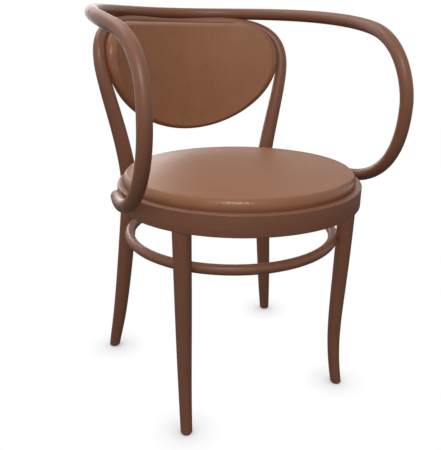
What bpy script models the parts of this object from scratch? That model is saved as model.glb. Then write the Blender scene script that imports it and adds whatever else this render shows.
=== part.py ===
"""Bentwood armchair: bent beech rods, a seat ring, a leg ring and two leather pads.

Metres, +Z up. The chair faces -Y, and left and right are as seen from the front.
While the pieces are modelled, the seat ring's axis is the Z axis. At the end the whole
chair is moved so that the origin lies on the floor under the middle of its box.
"""
import math
from dataclasses import dataclass

import bmesh
import bpy
import numpy as np
from mathutils import Matrix, Vector

# Clearance between pieces that touch
GAP = 0.0003

# Seat ring
RING_RADIUS = 0.231
RING_TOP = 0.438
RING_HEIGHT = 0.0375
RING_WALL = 0.040
RING_EDGE = 0.003
LIP_WIDTH = 0.011

# Back hoop and rear legs, one rod
HOOP_TOP_RADIUS = 0.0101
HOOP_SHOULDER_RADIUS = 0.0122
HOOP_SEAT_RADIUS = 0.0177
HOOP_FOOT_RADIUS = 0.0116
HOOP_TOP_DEPTH = 0.315
HOOP_TOP_RISE = 0.2872
HOOP_TOP_REACH = 0.102
HOOP_HALF_WIDTH = 0.207
HOOP_SHOULDER_DEPTH = 0.187
HOOP_SHOULDER_RISE = 0.213
HOOP_SHOULDER_LEAN = 0.265
HOOP_SHOULDER_REACH_UP = 0.0955
HOOP_SHOULDER_REACH_DOWN = 0.053
HOOP_LET_IN = 0.0022
HOOP_KNEE_ANGLE = 41.9
HOOP_KNEE_DROP = 0.036
HOOP_KNEE_REACH_UP = 0.0945
HOOP_LEG_STIFFNESS = 0.81
HOOP_KNEE_SPLAY = (0.100, 0.076)
REAR_FOOT_SIDE = 0.209
REAR_FOOT_DEPTH = 0.2245
REAR_FOOT_STIFFNESS = 0.176
REAR_FOOT_SPLAY = (0.136, 0.130)

# Arm rod: the back rail and both arms
ARM_RADIUS = 0.0118
RAIL_STANDOFF = 0.002
RAIL_CLIMB_ANGLE = 61.8
RAIL_REACH = 0.172
ARM_SHOULDER_SIDE = 0.2493
ARM_SHOULDER_DEPTH = -0.063
ARM_SHOULDER_RISE = 0.2723
ARM_SHOULDER_TURN = (-0.175, -1.0, -0.235)
ARM_SHOULDER_REACH_BACK = 0.1565
ARM_SHOULDER_REACH_FRONT = 0.0973
ARM_FRONT_SIDE = 0.242
ARM_FRONT_DEPTH = -0.1697
ARM_FRONT_RISE = 0.1453
ARM_FRONT_TURN = (0.02, 0.0, -1.0)
ARM_FRONT_REACH_UP = 0.0244
ARM_FRONT_REACH_DOWN = 0.1196
ARM_LANDING = 0.0056
ARM_END_ANGLE = 3.2
ARM_END_DROP = 0.0092
ARM_END_TURN = (-0.200, 1.0, 0.147)
ARM_END_REACH = 0.093
ARM_END_CHAMFER = 0.003
SPLICE_DEPTH = 0.0141
SPLICE_DOWEL_RADIUS = 0.004
SPLICE_DOWEL_LENGTH = 0.050

# Front legs
FRONT_LEG_ANGLE = 54.8
FRONT_LEG_INSET = 0.006
FRONT_LEG_HEAD_RADIUS = 0.0164
FRONT_LEG_FOOT_RADIUS = 0.0109
FRONT_FOOT_SIDE = 0.003
FRONT_FOOT_FORWARD = 0.009
FRONT_LEG_STIFFNESS = 0.57
FRONT_FOOT_STIFFNESS = 0.293
FRONT_FOOT_SPLAY = (0.071, -0.215)
TENON_RADIUS = 0.009
TENON_COVER = 0.005
TENON_ROOT = 0.006

# Leg ring
LEG_RING_DROP = 0.0763
LEG_RING_TUBE = 0.0101
LEG_RING_FRONT_LET_IN = 0.004
LEG_RING_REAR_LET_IN = 0.001

# Glides under the feet
GLIDE_HEIGHT = 0.003
GLIDE_MARGIN = 0.0015
GLIDE_EDGE = 0.0006
GLIDE_NAIL_RADIUS = 0.0015
GLIDE_NAIL_LENGTH = 0.012

# Seat pad
COVER_THICKNESS = 0.0014
PAD_SIDE_GAP = 0.0006
SEAT_BOARD_THICKNESS = 0.0085
SEAT_BOARD_SINK = 0.0015
SEAT_COVER_TURN_IN = 0.012
SEAT_PAD_RISE = 0.0205
SEAT_PAD_CROWN = 0.006
SEAT_PAD_ROLL = 0.017
SEAT_PAD_BULGE = 0.0012
SEAT_PAD_BULGE_HEIGHT = 0.009

# Back pad
BACK_SIDE_CLEARANCE = 0.0019
BACK_TOP_HALF_FLAT = 0.130
BACK_TOP_OVER_HOOP = 0.0003
BACK_SHOULDER_DROP = 0.069
BACK_TAIL_DROP = 0.1546
BACK_BEND_RADIUS = 0.291
BACK_LEAN = 0.195
BACK_THICKNESS = 0.024
BACK_CROWN = 0.004
BACK_FRONT_ROLL = 0.011
BACK_REAR_ROLL = 0.007
BACK_BOARD_THICKNESS = 0.008
BACK_COVER_TURN_IN = 0.016

# Fasteners
SCREW_RADIUS = 0.002
SCREW_HEAD_RADIUS = 0.004
SCREW_HEAD_HEIGHT = 0.0025
SCREW_POINT = 0.005
BOLT_RADIUS = 0.003
BOLT_HEAD_RADIUS = 0.006
BOLT_HEAD_HEIGHT = 0.004
SCREW_SINK = 0.002
BOLT_SINK = 0.006
ARM_SCREW_SETBACK = 0.016
ARM_SCREW_SLOPE = 20.0
ARM_SCREW_BITE = 0.002
RAIL_SCREW_SIDE = 0.098
RAIL_SCREW_BITE = 0.004
BACK_SCREW_OUTSETS = (0.027, 0.054)
BACK_SCREW_DROP = 0.013
BACK_SCREW_COVER = 0.002
SEAT_SCREW_ANGLES = (20.0, 160.0, 250.0, 290.0)
SEAT_SCREW_COVER = 0.002

# Facet counts
ROD_BEVEL_RESOLUTION = 4
RING_STEPS = 80
PAD_STEPS = 48
SMALL_STEPS = 10
LEG_RING_STEPS = 56
LEG_RING_SIDES = 10
HOOP_STEPS = (10, 8, 9)
RAIL_STEPS = 11
ARM_STEPS = (2, 9, 10)
FRONT_LEG_STEPS = 12
EDGE_POINTS = 3
SEAT_ROLL_POINTS = 5
SEAT_CROWN_SHARES = (0.0, 0.35, 0.7)
SHIELD_CORNER_POINTS = 7
SHIELD_TAIL_POINTS = 11
BACK_ROW_SHARES = (0.0, 0.25, 0.5, 0.75)
BACK_FRONT_TURNS = (90.0, 60.0, 30.0, 0.0)
BACK_REAR_TURNS = (0.0, 45.0, 90.0)
SHARP_ANGLE = 40.0

# Cutting and searching
CUT_OVERRUN = 0.012
SQUARE_END = 0.002
SEARCH_ROUNDS = 60
SEARCH_POINTS = 400
HOOP_CONTACT_KNOTS = 1.6

# Values that follow from the sizes above
RING_BOTTOM = RING_TOP - RING_HEIGHT
REBATE_DEPTH = 2 * GAP + COVER_THICKNESS + SEAT_BOARD_THICKNESS + SEAT_BOARD_SINK
LEDGE_HEIGHT = RING_TOP - REBATE_DEPTH
RING_INNER_RADIUS = RING_RADIUS - RING_WALL
REBATE_RADIUS = RING_RADIUS - LIP_WIDTH
FOOT_HEIGHT = GLIDE_HEIGHT + GAP
HOOP_TOP_HEIGHT = RING_TOP + HOOP_TOP_RISE
LEG_RING_HEIGHT = RING_BOTTOM - LEG_RING_DROP
BACK_HALF_WIDTH = HOOP_HALF_WIDTH - HOOP_SHOULDER_RADIUS - BACK_SIDE_CLEARANCE
BACK_TOP_HEIGHT = HOOP_TOP_HEIGHT + BACK_TOP_OVER_HOOP
BACK_WIDEST_HEIGHT = BACK_TOP_HEIGHT - BACK_SHOULDER_DROP
BACK_BOTTOM_HEIGHT = BACK_WIDEST_HEIGHT - BACK_TAIL_DROP
MIRROR_X = Vector((-1.0, 1.0, 1.0))


def polar(angle, radius, height):
    """A point at an angle in degrees, counted from +X towards +Y."""
    turn = math.radians(angle)
    return Vector((radius * math.cos(turn), radius * math.sin(turn), height))


def mirrored(point):
    return point * MIRROR_X


# Bent paths


@dataclass
class Knot:
    """A point that a rod passes through, with its two handles and the rod's radius there."""

    point: Vector
    before: Vector
    after: Vector
    radius: float


def knot(point, along, before, after, radius):
    """A knot whose handles lie on one line: along it by after, and against it by before."""
    point, along = Vector(point), Vector(along)
    return Knot(point, point - along * before, point + along * after, radius)


def both_halves(half):
    """The knots of a symmetric rod, from the half that starts in the middle plane."""
    other = []
    for k in half[:0:-1]:
        other.append(Knot(mirrored(k.point), mirrored(k.after), mirrored(k.before), k.radius))
    return other + half


class Path:
    """A smooth curve through knots. Station 0 is the first knot, 1 the second, and so on."""

    def __init__(self, knots):
        self.knots = knots
        self.last = len(knots) - 1

    def _span(self, station):
        index = min(max(int(math.floor(station)), 0), self.last - 1)
        return self.knots[index], self.knots[index + 1], station - index

    def at(self, station):
        a, b, t = self._span(station)
        s = 1.0 - t
        return s**3 * a.point + 3 * t * s**2 * a.after + 3 * t**2 * s * b.before + t**3 * b.point

    def velocity(self, station):
        a, b, t = self._span(station)
        s = 1.0 - t
        legs = (a.after - a.point, b.before - a.after, b.point - b.before)
        return 3 * s**2 * legs[0] + 6 * t * s * legs[1] + 3 * t**2 * legs[2]

    def along(self, station):
        return self.velocity(station).normalized()

    def radius(self, station):
        a, b, t = self._span(station)
        return a.radius + (b.radius - a.radius) * t

    def station_where(self, axis, value, first, last):
        """The station between two others at which one coordinate takes a value."""
        rising = self.at(last)[axis] > self.at(first)[axis]
        for _ in range(SEARCH_ROUNDS):
            middle = (first + last) / 2
            if (self.at(middle)[axis] < value) == rising:
                first = middle
            else:
                last = middle
        return (first + last) / 2


def stations(first, last, count):
    """Evenly spread stations from first to last, in count steps."""
    return [first + (last - first) * i / count for i in range(count + 1)]


def hoop_path():
    knee_reach = RING_RADIUS + HOOP_SEAT_RADIUS - HOOP_LET_IN
    knee = polar(90.0 - HOOP_KNEE_ANGLE, knee_reach, RING_BOTTOM - HOOP_KNEE_DROP)
    top = (0.0, HOOP_TOP_DEPTH, HOOP_TOP_HEIGHT)
    shoulder = (HOOP_HALF_WIDTH, HOOP_SHOULDER_DEPTH, RING_TOP + HOOP_SHOULDER_RISE)
    foot = (REAR_FOOT_SIDE, REAR_FOOT_DEPTH, 0.0)
    leg_reach, foot_reach = HOOP_LEG_STIFFNESS * knee.z, REAR_FOOT_STIFFNESS * knee.z
    half = [
        knot(top, (1.0, 0.0, 0.0), HOOP_TOP_REACH, HOOP_TOP_REACH, HOOP_TOP_RADIUS),
        knot(shoulder, (0.0, -HOOP_SHOULDER_LEAN, -1.0), HOOP_SHOULDER_REACH_UP, HOOP_SHOULDER_REACH_DOWN,
             HOOP_SHOULDER_RADIUS),
        knot(knee, (*HOOP_KNEE_SPLAY, -1.0), HOOP_KNEE_REACH_UP, leg_reach, HOOP_SEAT_RADIUS),
        knot(foot, (*REAR_FOOT_SPLAY, -1.0), foot_reach, foot_reach, HOOP_FOOT_RADIUS),
    ]
    return Path(both_halves(half))


def arm_path():
    climb = math.radians(RAIL_CLIMB_ANGLE)
    reach = HOOP_TOP_RADIUS + ARM_RADIUS + RAIL_STANDOFF
    rail = (0.0, HOOP_TOP_DEPTH + reach * math.cos(climb), HOOP_TOP_HEIGHT + reach * math.sin(climb))
    shoulder = (ARM_SHOULDER_SIDE, ARM_SHOULDER_DEPTH, RING_TOP + ARM_SHOULDER_RISE)
    front = (ARM_FRONT_SIDE, ARM_FRONT_DEPTH, RING_TOP + ARM_FRONT_RISE)
    end = polar(ARM_END_ANGLE, RING_RADIUS + ARM_RADIUS - ARM_LANDING, RING_TOP - ARM_END_DROP)
    half = [
        knot(rail, (1.0, 0.0, 0.0), RAIL_REACH, RAIL_REACH, ARM_RADIUS),
        knot(shoulder, ARM_SHOULDER_TURN, ARM_SHOULDER_REACH_BACK, ARM_SHOULDER_REACH_FRONT, ARM_RADIUS),
        knot(front, ARM_FRONT_TURN, ARM_FRONT_REACH_UP, ARM_FRONT_REACH_DOWN, ARM_RADIUS),
        knot(end, ARM_END_TURN, ARM_END_REACH, ARM_END_REACH, ARM_RADIUS),
    ]
    return Path(both_halves(half))


def front_leg_path():
    """The right front leg, from its head under the seat ring to the floor."""
    head_reach = RING_RADIUS - FRONT_LEG_INSET - FRONT_LEG_HEAD_RADIUS
    head = polar(FRONT_LEG_ANGLE - 90.0, head_reach, RING_BOTTOM - GAP)
    foot = Vector((head.x + FRONT_FOOT_SIDE, head.y - FRONT_FOOT_FORWARD, 0.0))
    straight, sweep = FRONT_LEG_STIFFNESS * head.z, FRONT_FOOT_STIFFNESS * head.z
    return Path([
        knot(head, (0.0, 0.0, -1.0), straight, straight, FRONT_LEG_HEAD_RADIUS),
        knot(foot, (*FRONT_FOOT_SPLAY, -1.0), sweep, sweep, FRONT_LEG_FOOT_RADIUS),
    ])


HOOP = hoop_path()
ARM = arm_path()
FRONT_LEG = front_leg_path()
HOOP_MIDDLE = HOOP.last // 2
ARM_MIDDLE = ARM.last // 2
SPLICE = ARM.station_where(1, SPLICE_DEPTH, ARM_MIDDLE, ARM_MIDDLE + 1)
SPLICE_SPEED = ARM.velocity(SPLICE).length


def leg_ring_seat():
    """Centre depth and radius of the circle that meets the front and rear legs alike."""
    front_station = FRONT_LEG.station_where(2, LEG_RING_HEIGHT, 0.0, 1.0)
    rear_station = HOOP.station_where(2, LEG_RING_HEIGHT, HOOP_MIDDLE + 1.0, HOOP.last)
    front, rear = FRONT_LEG.at(front_station), HOOP.at(rear_station)
    front_reach = LEG_RING_TUBE + FRONT_LEG.radius(front_station) - LEG_RING_FRONT_LET_IN
    rear_reach = LEG_RING_TUBE + HOOP.radius(rear_station) - LEG_RING_REAR_LET_IN
    low, high = front.y, rear.y
    for _ in range(SEARCH_ROUNDS):
        middle = (low + high) / 2
        to_front = math.hypot(front.x, front.y - middle) - front_reach
        to_rear = math.hypot(rear.x, rear.y - middle) - rear_reach
        if to_front < to_rear:
            low = middle
        else:
            high = middle
    return middle, to_front


LEG_RING_DEPTH, LEG_RING_RADIUS = leg_ring_seat()


# Scene, collections and materials


def empty_scene():
    for item in list(bpy.data.objects):
        bpy.data.objects.remove(item, do_unlink=True)


def new_collection(name):
    made = bpy.data.collections.new(name)
    bpy.context.scene.collection.children.link(made)
    return made


def material(name, colour, roughness, metallic=0.0):
    made = bpy.data.materials.new(name)
    made.use_nodes = True
    shader = made.node_tree.nodes["Principled BSDF"]
    shader.inputs["Base Color"].default_value = (*colour, 1.0)
    shader.inputs["Roughness"].default_value = roughness
    shader.inputs["Metallic"].default_value = metallic
    made.diffuse_color = (*colour, 1.0)
    return made


empty_scene()
PARTS = new_collection("bentwood_armchair")
CUTTERS = new_collection("cutters")
CHAIR = bpy.data.objects.new("chair_origin", None)
PARTS.objects.link(CHAIR)
BEECH = material("stained_beech", (0.126, 0.052, 0.030), 0.38)
RAW_BEECH = material("raw_beech", (0.50, 0.33, 0.18), 0.6)
PLYWOOD = material("plywood", (0.45, 0.30, 0.16), 0.6)
STAINED_PLYWOOD = material("stained_plywood", (0.126, 0.052, 0.030), 0.4)
LEATHER = material("brown_leather", (0.235, 0.116, 0.060), 0.5)
FOAM = material("foam", (0.75, 0.66, 0.42), 0.9)
STEEL = material("steel", (0.42, 0.41, 0.39), 0.35, 1.0)
NYLON = material("nylon", (0.03, 0.03, 0.03), 0.5)


def add_object(name, data, surface, collection=None):
    made = bpy.data.objects.new(name, data)
    (collection or PARTS).objects.link(made)
    made.parent = CHAIR
    if surface:
        data.materials.append(surface)
    return made


def as_cutter(item):
    """Keeps an object out of the model: it only shapes others."""
    item.hide_render = True
    item.display_type = "WIRE"
    for home in list(item.users_collection):
        home.objects.unlink(item)
    CUTTERS.objects.link(item)
    return item


def boolean(target, tool, operation="DIFFERENCE"):
    cut = target.modifiers.new(tool.name, "BOOLEAN")
    cut.operation = operation
    cut.solver = "EXACT"
    cut.object = tool


def smooth(mesh):
    mesh.shade_smooth()
    mesh.set_sharp_from_angle(angle=math.radians(SHARP_ANGLE))


# Shapes


def rod(name, path, where, surface, grow=0.0, start_extra=0.0, end_extra=0.0, chamfers=(0.0, 0.0)):
    """A round rod along a path. It may run on straight past its ends, or have chamfered ends."""
    rows = [(path.at(s), path.radius(s) + grow) for s in where]
    first, last = path.along(where[0]), path.along(where[-1])
    if start_extra:
        rows.insert(0, (rows[0][0] - first * start_extra, rows[0][1]))
    if end_extra:
        rows.append((rows[-1][0] + last * end_extra, rows[-1][1]))
    if chamfers[0]:
        rows.insert(0, (rows[0][0] - first * chamfers[0], rows[0][1] - chamfers[0]))
    if chamfers[1]:
        rows.append((rows[-1][0] + last * chamfers[1], rows[-1][1] - chamfers[1]))
    widest = max(radius for _, radius in rows)
    curve = bpy.data.curves.new(name, "CURVE")
    curve.dimensions = "3D"
    curve.bevel_depth = widest
    curve.bevel_resolution = ROD_BEVEL_RESOLUTION
    curve.use_fill_caps = True
    spline = curve.splines.new("POLY")
    spline.points.add(len(rows) - 1)
    for point, (place, radius) in zip(spline.points, rows):
        point.co = (*place, 1.0)
        point.radius = radius / widest
    return curve_to_mesh(name, curve, surface)


def curve_to_mesh(name, curve, surface):
    shape = bpy.data.objects.new(name + "_curve", curve)
    PARTS.objects.link(shape)
    evaluated = shape.evaluated_get(bpy.context.evaluated_depsgraph_get())
    mesh = bpy.data.meshes.new_from_object(evaluated)
    bpy.data.objects.remove(shape, do_unlink=True)
    mesh.name = name
    tidy = bmesh.new()
    tidy.from_mesh(mesh)
    bmesh.ops.remove_doubles(tidy, verts=tidy.verts, dist=1e-6)
    bmesh.ops.recalc_face_normals(tidy, faces=tidy.faces)
    tidy.to_mesh(mesh)
    tidy.free()
    smooth(mesh)
    return add_object(name, mesh, surface)


def turned(name, profile, surface, steps, closed=False):
    """A turned solid about Z. The profile runs down its outer side, as (radius, height) points."""
    mesh = bpy.data.meshes.new(name)
    count = len(profile)
    edges = [(i, i + 1) for i in range(count - 1)]
    if closed:
        edges.append((count - 1, 0))
    mesh.from_pydata([(radius, 0.0, height) for radius, height in profile], edges, [])
    made = add_object(name, mesh, surface)
    screw = made.modifiers.new("turn", "SCREW")
    screw.axis = "Z"
    screw.steps = steps
    screw.render_steps = steps
    screw.use_merge_vertices = True
    screw.merge_threshold = 1e-6
    screw.use_smooth_shade = True
    return made


def lathe_tool(name, profile, steps):
    return as_cutter(turned(name, profile, None, steps))


def cylinder_tool(name, radius, low, high, steps):
    return lathe_tool(name, [(0.0, high), (radius, high), (radius, low), (0.0, low)], steps)


def arc(centre, radii, start, stop, count):
    """Points on an ellipse's arc, from one angle in degrees to another."""
    turns = np.radians(np.linspace(start, stop, count))
    return [(centre[0] + radii[0] * math.cos(t), centre[1] + radii[1] * math.sin(t)) for t in turns]


def stand_along(item, base, towards):
    """Puts an object's origin at base and turns its +Z towards a point."""
    turn = (towards - base).to_track_quat("Z", "Y").to_matrix().to_4x4()
    item.matrix_basis = Matrix.Translation(base) @ turn


def fasten(name, head, tip, sizes, targets):
    """A countersunk screw from its head to its tip, and its hole in each piece that it holds."""
    radius, head_radius, head_height = sizes
    length = (tip - head).length
    shape = [(0.0, 0.0), (head_radius, 0.0), (radius, -head_height), (radius, SCREW_POINT - length),
             (0.0, -length)]
    bore = [(0.0, CUT_OVERRUN), (head_radius + GAP, CUT_OVERRUN), (head_radius + GAP, 0.0),
            (radius + GAP, -head_height), (radius + GAP, -length - GAP), (0.0, -length - GAP)]
    screw = turned(name, shape, STEEL, SMALL_STEPS)
    hole = lathe_tool(name + "_hole", bore, SMALL_STEPS)
    for item in (screw, hole):
        stand_along(item, head, head + (head - tip))
    for target in targets:
        boolean(target, hole)


SCREW = (SCREW_RADIUS, SCREW_HEAD_RADIUS, SCREW_HEAD_HEIGHT)
BOLT = (BOLT_RADIUS, BOLT_HEAD_RADIUS, BOLT_HEAD_HEIGHT)
SIDES = (("left", -1), ("right", 1))


def sided(point, side):
    """The same point on the left or on the right of the chair."""
    return Vector((point.x * side, point.y, point.z))


# Bent frame


def build_floor_cutter():
    size = 4 * max(REAR_FOOT_SIDE, REAR_FOOT_DEPTH)
    bpy.ops.mesh.primitive_cube_add(size=1.0)
    box = bpy.context.active_object
    box.name = "floor_cutter"
    box.data.transform(Matrix.Diagonal((size, size, 2 * CUT_OVERRUN, 1.0)))
    box.data.transform(Matrix.Translation((0.0, 0.0, FOOT_HEIGHT - CUT_OVERRUN)))
    box.parent = CHAIR
    return as_cutter(box)


def hoop_stations():
    right = [HOOP_MIDDLE]
    for knot_number, steps in enumerate(HOOP_STEPS, HOOP_MIDDLE):
        right += stations(knot_number, knot_number + 1, steps)[1:]
    return [2 * HOOP_MIDDLE - s for s in right[:0:-1]] + right


def build_hoop(rail_tool, leg_ring_tool, floor):
    hoop = rod("back_hoop", HOOP, hoop_stations(), BEECH, start_extra=CUT_OVERRUN, end_extra=CUT_OVERRUN)
    for tool in (rail_tool, leg_ring_tool, floor):
        boolean(hoop, tool)
    return hoop


def rail_stations():
    right = stations(ARM_MIDDLE, SPLICE - SQUARE_END / SPLICE_SPEED, RAIL_STEPS) + [SPLICE]
    return [2 * ARM_MIDDLE - s for s in right[:0:-1]] + right


def build_arm_rod():
    """The back rail and the two arms, with a dowel in each splice."""
    rail = rod("back_rail", ARM, rail_stations(), BEECH)
    start = SPLICE + GAP / SPLICE_SPEED
    bends = (start + SQUARE_END / SPLICE_SPEED, ARM_MIDDLE + 1, ARM_MIDDLE + 2, ARM.last)
    right = [start, bends[0]]
    for first, last, steps in zip(bends, bends[1:], ARM_STEPS):
        right += stations(first, last, steps)[1:]
    left = [2 * ARM_MIDDLE - s for s in reversed(right)]
    over_ring = RING_TOP + 2 * ARM_RADIUS
    landing = cylinder_tool("arm_landing", RING_RADIUS + GAP, RING_BOTTOM, over_ring, RING_STEPS)
    arms = {}
    for name, side in SIDES:
        where = right if side > 0 else left
        chamfers = (0.0, ARM_END_CHAMFER) if side > 0 else (ARM_END_CHAMFER, 0.0)
        arm = rod(name + "_arm", ARM, where, BEECH, chamfers=chamfers)
        boolean(arm, landing)
        half = SPLICE_DOWEL_LENGTH / 2
        peg = [(0.0, half), (SPLICE_DOWEL_RADIUS, half), (SPLICE_DOWEL_RADIUS, -half), (0.0, -half)]
        dowel = turned(name + "_splice_dowel", peg, RAW_BEECH, SMALL_STEPS)
        bore, bore_end = SPLICE_DOWEL_RADIUS + GAP, half + GAP
        hole = cylinder_tool(name + "_dowel_hole", bore, -bore_end, bore_end, SMALL_STEPS)
        middle = sided(ARM.at(SPLICE), side)
        for item in (dowel, hole):
            stand_along(item, middle, middle + sided(ARM.along(SPLICE), side))
        for target in (rail, arm):
            boolean(target, hole)
        arms[name] = arm
    return rail, arms


def build_seat_ring():
    edge = RING_EDGE
    outer, inner = RING_RADIUS, RING_INNER_RADIUS
    profile = [(REBATE_RADIUS, RING_TOP)]
    profile += arc((outer - edge, RING_TOP - edge), (edge, edge), 90, 0, EDGE_POINTS)
    profile += arc((outer - edge, RING_BOTTOM + edge), (edge, edge), 0, -90, EDGE_POINTS)
    profile += [(inner, RING_BOTTOM), (inner, LEDGE_HEIGHT), (REBATE_RADIUS, LEDGE_HEIGHT)]
    ring = turned("seat_ring", profile, BEECH, RING_STEPS, closed=True)
    notch = as_cutter(rod("hoop_notch", HOOP, hoop_stations(), None, grow=GAP))
    boolean(ring, notch)
    return ring


def build_front_legs(ring, leg_ring_tool, floor):
    """Tapered legs with a turned tenon that goes up into the seat ring."""
    tenon_length = RING_HEIGHT - REBATE_DEPTH - TENON_COVER
    head = FRONT_LEG.at(0.0)
    legs = {}
    for name, side in SIDES:
        where = stations(0.0, 1.0, FRONT_LEG_STEPS)
        leg = rod(name + "_front_leg", FRONT_LEG, where, BEECH, end_extra=CUT_OVERRUN)
        for vertex in leg.data.vertices:
            vertex.co.x *= side
        if side < 0:
            leg.data.flip_normals()
        tenon = cylinder_tool(name + "_tenon", TENON_RADIUS, -TENON_ROOT, tenon_length, SMALL_STEPS)
        bore, bore_end = TENON_RADIUS + GAP, tenon_length + GAP
        mortise = cylinder_tool(name + "_mortise", bore, -TENON_ROOT, bore_end, SMALL_STEPS)
        for item in (tenon, mortise):
            item.location = sided(head, side)
        boolean(leg, tenon, "UNION")
        boolean(leg, leg_ring_tool)
        boolean(leg, floor)
        boolean(ring, mortise)
        legs[name] = leg
    return legs


def torus(name, tube, surface):
    bpy.ops.mesh.primitive_torus_add(major_radius=LEG_RING_RADIUS, minor_radius=tube,
                                     major_segments=LEG_RING_STEPS, minor_segments=LEG_RING_SIDES)
    made = bpy.context.active_object
    made.name = name
    made.data.name = name
    made.data.transform(Matrix.Translation((0.0, LEG_RING_DEPTH, LEG_RING_HEIGHT)))
    made.parent = CHAIR
    smooth(made.data)
    for home in list(made.users_collection):
        home.objects.unlink(made)
    PARTS.objects.link(made)
    if surface:
        made.data.materials.append(surface)
    return made


def build_glides(hoop, legs):
    """A nylon disc under each foot, on a nail that goes up into the leg."""
    top = GLIDE_HEIGHT + GLIDE_NAIL_LENGTH
    feet = (("front", FRONT_LEG, 1.0), ("rear", HOOP, HOOP.last))
    for end, path, station in feet:
        radius = path.radius(station) - GLIDE_MARGIN
        nail = [(0.0, top), (GLIDE_NAIL_RADIUS, top), (GLIDE_NAIL_RADIUS, GLIDE_HEIGHT)]
        disc = [(radius, GLIDE_HEIGHT), (radius, GLIDE_EDGE), (radius - GLIDE_EDGE, 0.0), (0.0, 0.0)]
        for name, side in SIDES:
            title = f"{name}_{end}_glide"
            glide = turned(title, nail + disc, NYLON, SMALL_STEPS)
            hole = cylinder_tool(title + "_hole", GLIDE_NAIL_RADIUS + GAP, 0.0, top + GAP, SMALL_STEPS)
            for item in (glide, hole):
                item.location = sided(path.at(station), side)
            boolean(legs[name] if end == "front" else hoop, hole)


# Seat pad


def seat_skin(offset):
    """Half section of the seat pad's skin, from the crown down to the ledge, set in by an offset."""
    neck = REBATE_RADIUS - PAD_SIDE_GAP - offset
    bulge = neck + SEAT_PAD_BULGE
    bulge_height = RING_TOP + SEAT_PAD_BULGE_HEIGHT
    rim = RING_TOP + SEAT_PAD_RISE - offset
    roll = SEAT_PAD_ROLL - offset
    flat = bulge - roll
    crown = [(flat * s, rim + SEAT_PAD_CROWN * (1.0 - s**2)) for s in SEAT_CROWN_SHARES]
    shoulder = arc((flat, bulge_height), (roll, rim - bulge_height), 90, 0, SEAT_ROLL_POINTS)
    foot = LEDGE_HEIGHT + GAP + offset
    return crown + shoulder + [(neck, RING_TOP), (neck, foot)]


def build_seat_pad(ring):
    """Leather shell, foam and plywood. The leather turns in under the board's edge."""
    outer, inner = seat_skin(0.0), seat_skin(COVER_THICKNESS)
    turn_in = inner[-1][0] - SEAT_COVER_TURN_IN
    hem = [(turn_in, outer[-1][1]), (turn_in, inner[-1][1])]
    turned("seat_cover", outer + hem + inner[::-1], LEATHER, PAD_STEPS)
    filling = seat_skin(COVER_THICKNESS + GAP)
    side, underside = filling[-1]
    board_top = underside + SEAT_BOARD_THICKNESS
    turned("seat_foam", filling[:-1] + [(side, board_top + GAP), (0.0, board_top + GAP)], FOAM, PAD_STEPS)
    disc = [(0.0, board_top), (side, board_top), (side, underside), (0.0, underside)]
    board = turned("seat_board", disc, PLYWOOD, PAD_STEPS)
    for number, angle in enumerate(SEAT_SCREW_ANGLES, 1):
        foot = polar(angle, (RING_INNER_RADIUS + turn_in) / 2, RING_BOTTOM + SCREW_SINK)
        tip = Vector((foot.x, foot.y, board_top - SEAT_SCREW_COVER))
        fasten(f"seat_screw_{number}", foot, tip, SCREW, (ring, board))


# Back pad


def back_outline(inset):
    """The shield outline seen from the front, as (x, z) points, clockwise from the top's middle."""
    wide, flat = BACK_HALF_WIDTH - inset, BACK_TOP_HALF_FLAT
    rise = BACK_TOP_HEIGHT - BACK_WIDEST_HEIGHT - inset
    drop = BACK_WIDEST_HEIGHT - BACK_BOTTOM_HEIGHT - inset
    top = [(0.0, BACK_WIDEST_HEIGHT + rise), (flat / 2, BACK_WIDEST_HEIGHT + rise)]
    corner = arc((flat, BACK_WIDEST_HEIGHT), (wide - flat, rise), 90, 0, SHIELD_CORNER_POINTS)
    lower = arc((0.0, BACK_WIDEST_HEIGHT), (wide, drop), 0, -90, SHIELD_TAIL_POINTS)[1:]
    half = top + corner + lower
    return half + [(-x, z) for x, z in half[-2:0:-1]]


def bent(x, z, depth, seat):
    """A point of the bent pad: depth counts from its rear face towards the sitter."""
    turn = math.asin(x / (BACK_BEND_RADIUS - BACK_REAR_ROLL))
    radius = BACK_BEND_RADIUS - depth
    back = seat + BACK_LEAN * (z - BACK_WIDEST_HEIGHT)
    return Vector((radius * math.sin(turn), back + radius * math.cos(turn) - BACK_BEND_RADIUS, z))


def back_skin(offset):
    """Rows of the pad's skin as (share of the outline, inset, depth), from the crown to the rear edge."""
    front = BACK_THICKNESS - offset
    front_roll, rear_roll = BACK_FRONT_ROLL - offset, BACK_REAR_ROLL - offset
    rows = [(s, offset + front_roll, front + BACK_CROWN * (1.0 - s**2)) for s in BACK_ROW_SHARES]
    for turn in np.radians(BACK_FRONT_TURNS):
        inset = offset + front_roll * (1.0 - math.cos(turn))
        rows.append((1.0, inset, front - front_roll * (1.0 - math.sin(turn))))
    for turn in np.radians(BACK_REAR_TURNS):
        inset = offset + rear_roll * (1.0 - math.cos(turn))
        rows.append((1.0, inset, offset + rear_roll * (1.0 - math.sin(turn))))
    return rows


def row_points(row, seat):
    share, inset, depth = row
    middle = (BACK_TOP_HEIGHT + BACK_BOTTOM_HEIGHT) / 2
    if share == 0.0:
        return [bent(0.0, middle, depth, seat)]
    return [bent(x * share, middle + (z - middle) * share, depth, seat) for x, z in back_outline(inset)]


def loft_faces(outer, inner):
    """Faces between two rings, split alike in every piece so that nested pieces stay clear."""
    count = len(outer)
    if len(inner) == 1:
        return [(outer[i], outer[(i + 1) % count], inner[0]) for i in range(count)]
    faces = []
    for i in range(count):
        k = (i + 1) % count
        if i < count // 2:
            faces += [(outer[i], outer[k], inner[k]), (outer[i], inner[k], inner[i])]
        else:
            faces += [(outer[i], outer[k], inner[i]), (outer[k], inner[k], inner[i])]
    return faces


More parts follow.
